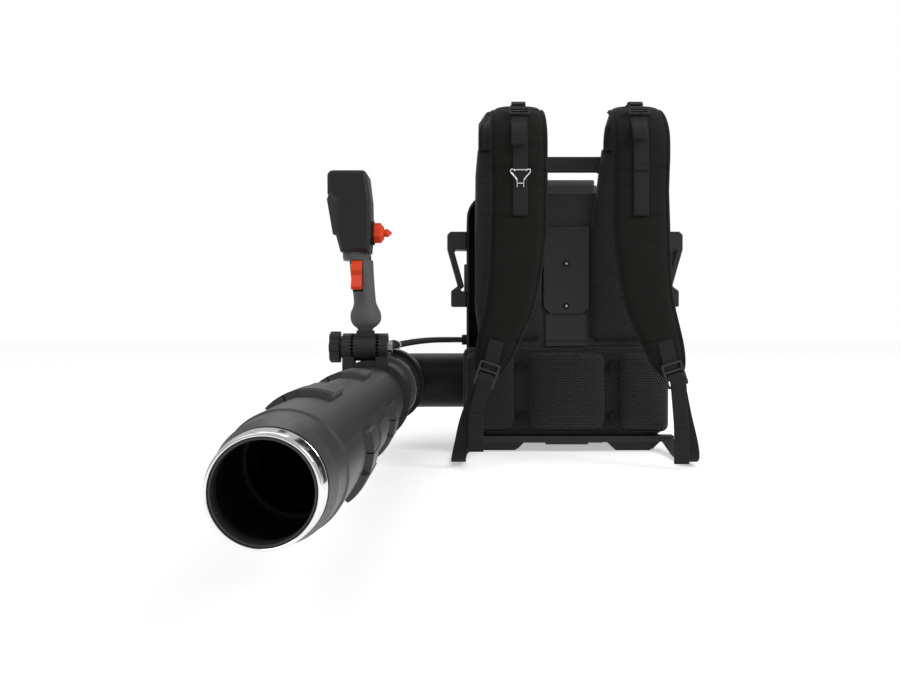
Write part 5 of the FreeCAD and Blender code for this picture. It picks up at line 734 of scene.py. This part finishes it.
def strap_webbing(side, half, thick):
    """Webbing over one strap: the long run, its folded tail and hem, the load loop, and one side's keeper."""
    centre = side * WEBBING_SIDE
    aside = centre - 0.003
    end = 0.5225 if side > 0 else 0.513
    run = strap_surface(0.402, 0.0105)
    run[:, 0] = centre
    fold = [(-0.2985, 0.5735), (-0.3155, 0.556), (-0.3290, 0.540), (-0.3325, 0.528), (-0.3340, end + 0.002)]
    hem = [(-0.3357, end + 0.014), (-0.3361, end + 0.007), (-0.3361, end)]
    loop = [(-0.262, 0.5935), (-0.2695, 0.5955), (-0.2785, 0.5940), (-0.287, 0.5880)]
    # Place across, points, step, and shares of the webbing's width and thickness
    strips = [
        (aside, fold, 0.003, 0.96, 1.1), (aside, hem, 0.003, 0.96, 1.3), (centre, loop, 0.002, 0.96, 1.0),
    ]
    if side > 0:
        strips.append((centre, [(-0.3305, 0.4795), (-0.3312, 0.4765), (-0.3305, 0.4735)], 0.001, 1.05, 1.0))
    return [ribbon_rings(run, (1, 0, 0), half, thick)] + [
        strip([(across, *place) for place in places], step, half * wide, thick * deep)
        for across, places, step, wide, deep in strips]


def lower_webbing(side, half, thick):
    """Webbing under one strap: the sewn tip, the load strand to the foot, the wrap through the ladder buckle,
    and the loose tail with its hem."""
    far = 0.182 if side > 0 else 0.194
    hang, foot, top = (0.159, 0.0095, 0.063) if side > 0 else (0.1665, 0.029, 0.087)
    tip = [(0.1335, -0.3265, 0.2035), (0.138, -0.3265, 0.186), (0.1425, -0.3255, 0.168),
           (0.146, -0.3248, 0.156)]
    strand = [(0.155, -0.3215, 0.138), (far - 0.016, -0.3195, 0.085), (far - 0.005, -0.3175, 0.039),
              (far, -0.3055, 0.014), (far, -0.2815, 0.0052), (far, -0.2215, 0.0052), (0.184, -0.1715, 0.0105),
              (0.181, -0.1345, 0.0215)]
    wrap = [(0.149 + 0.309 * down, place, 0.150 - 0.951 * down) for down, place in BUCKLE_WRAP]
    tail = [(0.153, -0.3305, 0.139), ((0.153 + hang) / 2, -0.3315, (0.139 + top) / 2), (hang, -0.3300, top),
            (hang, -0.3305, foot)]
    hem = [(hang, -0.3320, top), (hang, -0.3324, (top + foot) / 2), (hang, -0.3322, foot - 0.001)]
    runs = (tip, strand, wrap, tail, hem)
    tip, strand, wrap, tail, hem = ([(side * x, y, z) for x, y, z in run] for run in runs)
    strand = smooth_line(strand, 0.004)
    turn = np.clip(np.linspace(0, 2.4, len(strand)), 0, 1)[:, None]
    lie = np.array([[1.0, 0.0, 0.24 * side]]) * (1 - turn) + np.array([[1.0, 0.0, 0.0]]) * turn
    return [
        strip(tip, 0.003, half, thick, (1, 0, side * 0.26)), ribbon_rings(strand, lie, half * 1.02, thick),
        strip(wrap, 0.0015, half, thick, (0.951, 0, side * 0.309)), strip(tail, 0.004, half, thick),
        strip(hem, 0.004, half * 1.02, thick * 0.9),
    ]


class BLOWER_OT_webbing(bpy.types.Operator):
    """Webbing over the straps, its folded tails, and the load strands and loose tails below"""
    bl_idname = "blower.webbing"
    bl_label = "Webbing"

    def execute(self, context):
        sizes = context.scene.blower_harness
        half, thick = sizes.webbing_width / 2, sizes.webbing_thickness
        upper = [rings for side, _ in SIDES for rings in strap_webbing(side, half, thick)]
        lower = [rings for side, _ in SIDES for rings in lower_webbing(side, half, thick)]
        settle(shells("strap_webbing_upper", upper), "base", "webbing", ["strap_webbing"])
        settle(shells("webbing_lower", lower), "base", "webbing", ["lower_webbing"])
        return {"FINISHED"}


# Cable
ROUTE = [
    (-0.189, -0.070, 0.200), (-0.203, -0.070, 0.200), (-0.242, -0.081, 0.200), (-0.268, -0.098, 0.198),
    (-0.288, -0.118, 0.1952), (-0.302, -0.142, 0.1926), (-0.3065, -0.172, 0.192), (-0.3075, -0.208, 0.1932),
    (-0.304, -0.254, 0.196), (-0.299, -0.290, 0.198), (-0.296, -0.326, 0.1996), (-0.2963, -0.362, 0.1998),
    (-0.299, -0.394, 0.1988), (-0.3014, -0.424, 0.1975),
]
# The stretches meet halfway along these two spans of the route
TIE_RUN, SLEEVE_RUN = 5, 7
RIB_DEPTH = 0.0014


def route_points(points):
    """Points on the smooth spline that a route's few points control."""
    curve = bpy.data.curves.new("route", "CURVE")
    curve.dimensions = "3D"
    curve.resolution_u = 24
    spline = curve.splines.new("NURBS")
    spline.points.add(len(points) - 1)
    spline.points.foreach_set("co", np.insert(np.asarray(points), 3, 1.0, axis=1).ravel())
    spline.order_u = 3
    spline.use_endpoint_u = True
    carrier = bpy.data.objects.new("route", curve)
    mesh = bpy.data.meshes.new_from_object(carrier)
    line = np.empty(len(mesh.vertices) * 3)
    mesh.vertices.foreach_get("co", line)
    bpy.data.objects.remove(carrier)
    bpy.data.curves.remove(curve)
    bpy.data.meshes.remove(mesh)
    return line.reshape(-1, 3)


def tube_rings(line, radii, sides=20, up=(0.0, 0.0, 1.0)):
    """Rings of a round tube along a line: at each point a circle square to it, with the point's radius."""
    ahead = ahead_of(line)
    across = np.cross(ahead, up)
    across /= np.linalg.norm(across, axis=1)[:, None]
    out = np.cross(across, ahead)
    angle = circle(sides)[None, :, None]
    wheel = across[:, None, :] * np.cos(angle) + out[:, None, :] * np.sin(angle)
    return line[:, None, :] + wheel * np.broadcast_to(radii, (len(line),))[:, None, None]


class BLOWER_OT_cable(bpy.types.Operator):
    """Cable in its ribbed conduit, in the three stretches between the joints"""
    bl_idname = "blower.cable"
    bl_label = "Cable"

    def execute(self, context):
        sizes = context.scene.blower_sizes
        route = np.array(ROUTE)
        tie, sleeve = ((route[run] + route[run + 1]) / 2 for run in (TIE_RUN, SLEEVE_RUN))
        stretches = (
            ("rear", [*route[:TIE_RUN + 1], tie], "base", "elbow",
             (-0.215, -0.075, 0.2), (-0.298, -0.140, 0.194)),
            ("middle", [tie, *route[TIE_RUN + 1:SLEEVE_RUN + 1], sleeve], "elbow", "sleeve",
             (-0.306, -0.165, 0.192), (-0.306, -0.225, 0.194)),
            ("front", [sleeve, *route[SLEEVE_RUN + 1:]], "sleeve", "tube",
             (-0.305, -0.240, 0.195), (-0.301, -0.415, 0.1975)),
        )
        for word, points, before, after, start, end in stretches:
            line = route_points(points)
            fine, places = resample(line, sizes.conduit_pitch / 6)
            wave = 0.5 - 0.5 * np.cos(2 * math.pi * places / sizes.conduit_pitch)
            rings = tube_rings(fine, sizes.conduit_radius - RIB_DEPTH * wave ** 1.5)
            piece = settle(shell(f"conduit_{word}", rings), None, "conduit", [f"cable_{word}"])
            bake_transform(piece)
            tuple(start)
            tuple(end)
        return {"FINISHED"}


# Pieces turned about the tube's axis
def turned_piece(name, profile, sides, sharp):
    """A closed ring about the tube's axis: its profile of places along Y and radii runs round the section and
    meets itself."""
    profile = np.asarray(profile, dtype=float)
    angle = circle(sides)
    across = TUBE_SIDE + profile[:, 1, None] * np.cos(angle)
    height = TUBE_HEIGHT + profile[:, 1, None] * np.sin(angle)
    rings = np.stack([across, np.repeat(profile[:, 0, None], sides, axis=1), height], axis=2)
    return build(name, rings.reshape(-1, 3), [quads_between(len(profile), sides, closed=True)], None, sharp)


# Radius at the bottom of a fold, a fold's depth and the wall's thickness
FOLD_RADIUS, FOLD_DEPTH, WALL = 0.0505, 0.0055, 0.002


class BLOWER_OT_bellows(bpy.types.Operator):
    """Ribbed bellows between the elbow's cuff and the turning sleeve"""
    bl_idname = "blower.bellows"
    bl_label = "Bellows"

    def execute(self, context):
        folds = context.scene.blower_sizes.bellows_folds
        low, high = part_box("bellows")
        back, front = high[1], low[1]
        steps = np.linspace(0, 1, 16 * folds)
        start, end = back - 0.0075, front + 0.0185
        place = start + (end - start) * steps
        wave = 0.5 - 0.5 * np.cos(2 * math.pi * folds * steps)
        outer = FOLD_RADIUS + FOLD_DEPTH * wave ** 0.8
        profile = [(back, 0.0485), (back, 0.0578), (back - 0.001, 0.058), (back - 0.006, 0.058),
                   (back - 0.007, 0.0572), (start, FOLD_RADIUS)]
        profile += list(zip(place[1:-1], outer[1:-1]))
        profile += [(end, FOLD_RADIUS), (front + 0.001, FOLD_RADIUS), (front, 0.050), (front, 0.0484)]
        profile += list(zip(place[::-1][::4], outer[::-1][::4] - WALL))
        piece = settle(turned_piece("bellows_hose", profile, 112, 40), None, "bellows_rubber", ["bellows"])
        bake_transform(piece)
        return {"FINISHED"}


# Sections of the nozzle's mouth: places along Y and radii
NOZZLE_BAND = [
    (-1.1353, 0.0387), (-1.1353, 0.0412), (-1.1358, 0.0415), (-1.1392, 0.0415), (-1.1396, 0.0411),
    (-1.1402, 0.0411), (-1.1406, 0.0414), (-1.1450, 0.04105), (-1.1530, 0.0404), (-1.1549, 0.0401),
    (-1.1557, 0.0397), (-1.1560, 0.0392), (-1.1560, 0.0380), (-1.1557, 0.0376), (-1.1550, 0.0374),
    (-1.1460, 0.0374), (-1.1460, 0.0387),
]
NOZZLE_LIP = [
    (-1.1455, 0.0350), (-1.1543, 0.0350), (-1.1551, 0.0353), (-1.1555, 0.0359), (-1.1555, 0.0365),
    (-1.1549, 0.0371), (-1.1540, 0.0373), (-1.1455, 0.0373),
]


class BLOWER_OT_mouth(bpy.types.Operator):
    """Chrome band round the nozzle's mouth, and the dark lip inside it"""
    bl_idname = "blower.mouth"
    bl_label = "Nozzle mouth"

    def execute(self, context):
        settle(turned_piece("nozzle_band", NOZZLE_BAND, 192, 35), "nozzle", "chrome", ["nozzle_ring"])
        settle(turned_piece("nozzle_lip", NOZZLE_LIP, 160, 35), "nozzle", "tube_plastic")
        return {"FINISHED"}


# Throttle grip: height, width, depth and middle of its ovals
GRIP_OVALS = [
    (0.2214, 0.0210, 0.0220, -0.3284), (0.2240, 0.0220, 0.0240, -0.3284), (0.2259, 0.0275, 0.0295, -0.3284),
    (0.2285, 0.0345, 0.0365, -0.3282), (0.2315, 0.0395, 0.0415, -0.3279), (0.2355, 0.0434, 0.0455, -0.3276),
    (0.2417, 0.0448, 0.0470, -0.3277), (0.2483, 0.0424, 0.0455, -0.3279), (0.2535, 0.0378, 0.0425, -0.3279),
    (0.2580, 0.0338, 0.0400, -0.3283), (0.2620, 0.0320, 0.0386, -0.3289), (0.2700, 0.0316, 0.0380, -0.3296),
    (0.2800, 0.0322, 0.0386, -0.3308), (0.3000, 0.0333, 0.0410, -0.3327), (0.3223, 0.0340, 0.0440, -0.3342),
]
GRIP_LOW, GRIP_HIGH, GRIP_DEPTH_MIDDLE = 0.2214, 0.3223, -0.452
# Room for the trigger: its two sides, its floor and its lower end
NOTCH_LEFT, NOTCH_RIGHT, NOTCH_FLOOR, NOTCH_LOW = -0.3460, -0.3296, -0.4497, 0.2775


def grip_rings():
    """Ovals up the grip. In front, where the trigger sits, the surface goes back to a flat floor."""
    height = np.concatenate([
        np.arange(GRIP_LOW, NOTCH_LOW - 0.0003, 0.0012), [NOTCH_LOW - 0.0002, NOTCH_LOW + 0.0002],
        np.arange(NOTCH_LOW + 0.0020, GRIP_HIGH - 0.0008, 0.0024), [GRIP_HIGH]])
    width, depth, middle = (softened(values, 1)[:, None] for values in lerp_table(GRIP_OVALS, height))
    height = height[:, None]
    left, right = (2 * math.pi - np.arccos(np.clip(2 * (edge - middle) / width, -0.92, 0.92))
                   for edge in (NOTCH_LEFT, NOTCH_RIGHT))
    # Points stand close together on both sides of the notch's edges
    nothing = np.zeros_like(left)
    behind = 24
    stretches = ((nothing, nothing + math.pi, behind), (nothing + math.pi, left, 9),
                 (left + 0.02, right - 0.02, 8), (right, nothing + 2 * math.pi, 9))
    angle = np.concatenate([start + (end - start) * np.linspace(0, 1, count)[None, :]
                            for start, end, count in stretches], axis=1)[:, :-1]
    angle = np.delete(angle, behind, axis=1)
    across = middle + width / 2 * np.cos(angle)
    along = GRIP_DEPTH_MIDDLE + depth / 2 * np.sin(angle)
    inside = (angle > left + 0.01) & (angle < right - 0.01) & (height > NOTCH_LOW)
    along = np.where(inside, np.maximum(along, NOTCH_FLOOR), along)
    return np.stack([across, along, np.repeat(height, angle.shape[1], axis=1)], axis=2)


class BLOWER_OT_grip(bpy.types.Operator):
    """Overmoulded throttle grip with its bulb and its room for the trigger"""
    bl_idname = "blower.grip"
    bl_label = "Throttle grip"

    def execute(self, context):
        nodes = ["grip_shell_left", "grip_shell_right"]
        settle(shell("grip_cover", grip_rings(), sharp=40), "handle", "grip_grey", nodes)
        return {"FINISHED"}


# Battery cap's lip: half its length, height of its middle, half its depth and half its height
LIP_REACH, LIP_LEVEL, LIP_HALF_DEPTH, LIP_HALF_HEIGHT = 0.0815, 0.5172, 0.0045, 0.0062


def lip_rings(front):
    """A rounded bar: across it a superellipse of power four, along it ends that close as a quarter circle."""
    turn = np.linspace(-math.pi / 2, math.pi / 2, 25)[:, None]
    across = np.sin(turn) * 0.004 + np.sign(turn) * (LIP_REACH - 0.004)
    share = np.sqrt(np.clip(np.cos(turn), 0.0, 1.0)) * 0.97 + 0.03
    angle = circle(32)
    deep, tall = (half * np.sign(part) * np.abs(part) ** 0.5
                  for half, part in ((LIP_HALF_DEPTH, np.cos(angle)), (LIP_HALF_HEIGHT, np.sin(angle))))
    depth, height = front + 0.006 + share * deep, LIP_LEVEL + share * tall
    return np.stack([np.repeat(across, 32, axis=1), depth, height], axis=2)


class BLOWER_OT_cap_lip(bpy.types.Operator):
    """Pale lip along the front edge of the battery's cap"""
    bl_idname = "blower.cap_lip"
    bl_label = "Battery cap lip"

    def execute(self, context):
        low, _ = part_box("battery_cap")
        settle(shell("cap_lip", lip_rings(low[1])), "battery", "battery_grey")
        return {"FINISHED"}


# Body hook: its wire's radius, half the width and the height of its two bars, and one side of its bow
WIRE_RADIUS = 0.0011
HOOK_BARS = ((0.0115, 0.4747, 0.4749), (0.0052, 0.4535, 0.4535))
HOOK_BOW = [(0.0105, 0.4750), (0.0140, 0.4757), (0.0158, 0.4728), (0.0140, 0.4692), (0.0072, 0.4612),
            (0.0052, 0.4570), (0.0052, 0.4475)]
# Screw cups: heights, and their section as depth and radius
CUP_HEIGHTS = (0.339, 0.262)
CUP_SECTION = ((-0.1272, 0.0055), (-0.1281, 0.0054), (-0.1292, 0.0046), (-0.1293, 0.0024))


class BLOWER_OT_hardware(bpy.types.Operator):
    """Wire hook on one strap, and the dark cups round the spine panel's screws"""
    bl_idname = "blower.hardware"
    bl_label = "Hook and screw cups"

    def execute(self, context):
        low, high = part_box("wire_hook")
        middle, depth = (low[0] + high[0]) / 2, (low[1] + high[1]) / 2
        wires = []
        for half, ends, level in HOOK_BARS:
            bar = [(middle - half, depth, ends), (middle, depth, level), (middle + half, depth, ends)]
            wires.append(smooth_line(bar, 0.001))
        for side in (-1, 1):
            bow = [(middle + side * away, depth, height) for away, height in HOOK_BOW]
            wires.append(smooth_line([(middle + side * 0.0095, depth - 0.0004, 0.4722), *bow], 0.0008))
        rings = [tube_rings(wire, WIRE_RADIUS, 14, (0.0, 1.0, 0.0)) for wire in wires]
        settle(shells("hook_wire", rings), "hook", "bright_steel", ["wire_hook"])
        angle = circle(48)
        place, radius = (np.array(column)[:, None] for column in zip(*CUP_SECTION))
        across, depth = radius * np.cos(angle), place + 0.0 * angle
        cups = [np.stack([across, depth, level + radius * np.sin(angle)], axis=2) for level in CUP_HEIGHTS]
        settle(shells("screw_cups", cups, ends=False), "base", "button_plastic")
        return {"FINISHED"}


# Nodes that stay as they are
class BLOWER_OT_finishes(bpy.types.Operator):
    """Finishes of the nodes that stay as they are"""
    bl_idname = "blower.finishes"
    bl_label = "Finishes"

    def execute(self, context):
        make_finishes(context.scene)
        for part in frame["record"]["subparts"]:
            for place in frame["nodes"][part["node"]].material_slots:
                place.material = FINISH[part["material_slot"]]
        return {"FINISHED"}


# Stage. Lamps: name, place, aim, width and power
LAMPS = (
    ("key", (1.9, -1.3, 2.0), (-0.1, -0.3, 0.25), 1.1, 34),
    ("fill", (-1.6, -2.2, 2.4), (-0.2, -0.3, 0.3), 1.6, 12),
    ("rim", (-0.6, 1.6, 2.2), (-0.2, 0.0, 0.4), 1.4, 8),
)
# The world's light on plain surfaces and in reflections, its white as seen, and the floor's own glow
PLAIN, MIRROR, SEEN, GLOW = 0.66, 0.55, 1.0, 0.44
WHITE = (1, 1, 1, 1)
# Camera fitted to the photograph, which is 900 pixels wide
CAMERA_PLACE, LENS, SENSOR, PHOTO_WIDTH = (-0.187, -1.756, 0.235), 36.0, 36.0, 900


def studio_world(world):
    """White all round: the light that it gives is set apart from the white that is seen."""
    world.use_nodes = True
    tree = world.node_tree
    tree.nodes.clear()
    rays = add(tree, "LightPath").outputs
    ways = {0: rays["Is Camera Ray"], 1: rays["Is Transmission Ray"]}
    seen = add(tree, "Math", {"operation": "MAXIMUM"}, ways)
    plain, mirror, white = (
        add(tree, "Background", {"Color": WHITE, "Strength": strength}) for strength in (PLAIN, MIRROR, SEEN))
    inner = add(tree, "MixShader", (), {0: rays["Is Glossy Ray"], 1: plain, 2: mirror})
    outer = add(tree, "MixShader", (), {0: seen, 1: inner, 2: white})
    add(tree, "OutputWorld", (), {"Surface": outer})
    return world


def white_paper():
    """White paper: dull, and lifted where it is seen so that it runs into the white behind it."""
    material, tree = new_material("white paper floor")
    rays = add(tree, "LightPath").outputs
    seen = add(tree, "Math", {"operation": "MAXIMUM"}, {0: rays["Is Camera Ray"], 1: rays["Is Glossy Ray"]})
    glow = add(tree, "Math", {"operation": "MULTIPLY", 1: GLOW}, {0: seen})
    sheet = add(tree, "BsdfDiffuse", {"Color": (0.8, 0.8, 0.8, 1)})
    lift = add(tree, "Emission", {"Color": WHITE}, {"Strength": glow})
    add(tree, "OutputMaterial", (), {"Surface": add(tree, "AddShader", (), {0: sheet, 1: lift})})
    return material


class BLOWER_OT_stage(bpy.types.Operator):
    """White studio: floor, lamps, world and the photograph's camera"""
    bl_idname = "blower.stage"
    bl_label = "Stage"

    def execute(self, context):
        scene = context.scene
        scene.view_settings.view_transform = "Standard"
        scene.world = studio_world(bpy.data.worlds.new("studio"))
        for name, place, aim, size, power in LAMPS:
            data = bpy.data.lights.new(name, "AREA")
            data.size = size
            data.energy = power
            lamp = placed(name, data)
            lamp.location = place
            x, y, z = np.array(place) - np.array(aim)
            lamp.rotation_euler = (math.atan2(math.hypot(x, y), z), 0.0, math.atan2(y, x) + math.pi / 2)
        mesh = bpy.data.meshes.new("floor")
        corners = ((-6, -6), (6, -6), (6, 10), (-6, 10))
        mesh.from_pydata([(x, y, -0.0004) for x, y in corners], [], [(0, 1, 2, 3)])
        mesh.materials.append(white_paper())
        placed("floor", mesh)
        data = bpy.data.cameras.new("camera")
        data.lens = LENS
        data.sensor_width = SENSOR
        data.shift_x = -13 / PHOTO_WIDTH
        data.shift_y = -16.5 / PHOTO_WIDTH
        data.clip_start = 0.01
        camera = placed("camera", data)
        camera.location = CAMERA_PLACE
        camera.rotation_euler = (math.pi / 2, 0.0, 0.0)
        scene.camera = camera
        return {"FINISHED"}


STEPS = ("stage", "finishes", "straps", "pads", "webbing", "cable", "bellows", "mouth", "grip", "cap_lip",
         "hardware")


class BLOWER_PT_panel(bpy.types.Panel):
    bl_label = "Leaf Blower"
    bl_idname = "BLOWER_PT_panel"
    bl_space_type = "VIEW_3D"
    bl_region_type = "UI"
    bl_category = "Blower"

    def draw(self, context):
        for step in STEPS:
            self.layout.operator(f"blower.{step}")


GROUPS = (("blower_harness", HarnessSizes), ("blower_sizes", BlowerSizes), ("blower_colours", FinishColours))
CLASSES = (
    HarnessSizes, BlowerSizes, FinishColours, BLOWER_OT_stage, BLOWER_OT_finishes, BLOWER_OT_straps,
    BLOWER_OT_pads, BLOWER_OT_webbing, BLOWER_OT_cable, BLOWER_OT_bellows, BLOWER_OT_mouth, BLOWER_OT_grip,
    BLOWER_OT_cap_lip, BLOWER_OT_hardware, BLOWER_PT_panel,
)


def register():
    for kind in CLASSES:
        bpy.utils.register_class(kind)
    for name, kind in GROUPS:
        setattr(bpy.types.Scene, name, PointerProperty(type=kind))


def unregister():
    for name, _ in GROUPS:
        delattr(bpy.types.Scene, name)
    for kind in reversed(CLASSES):
        bpy.utils.unregister_class(kind)


def main():
    register()
    for step in STEPS:
        getattr(bpy.ops.blower, step)()


if __name__ == "__main__":
    main()
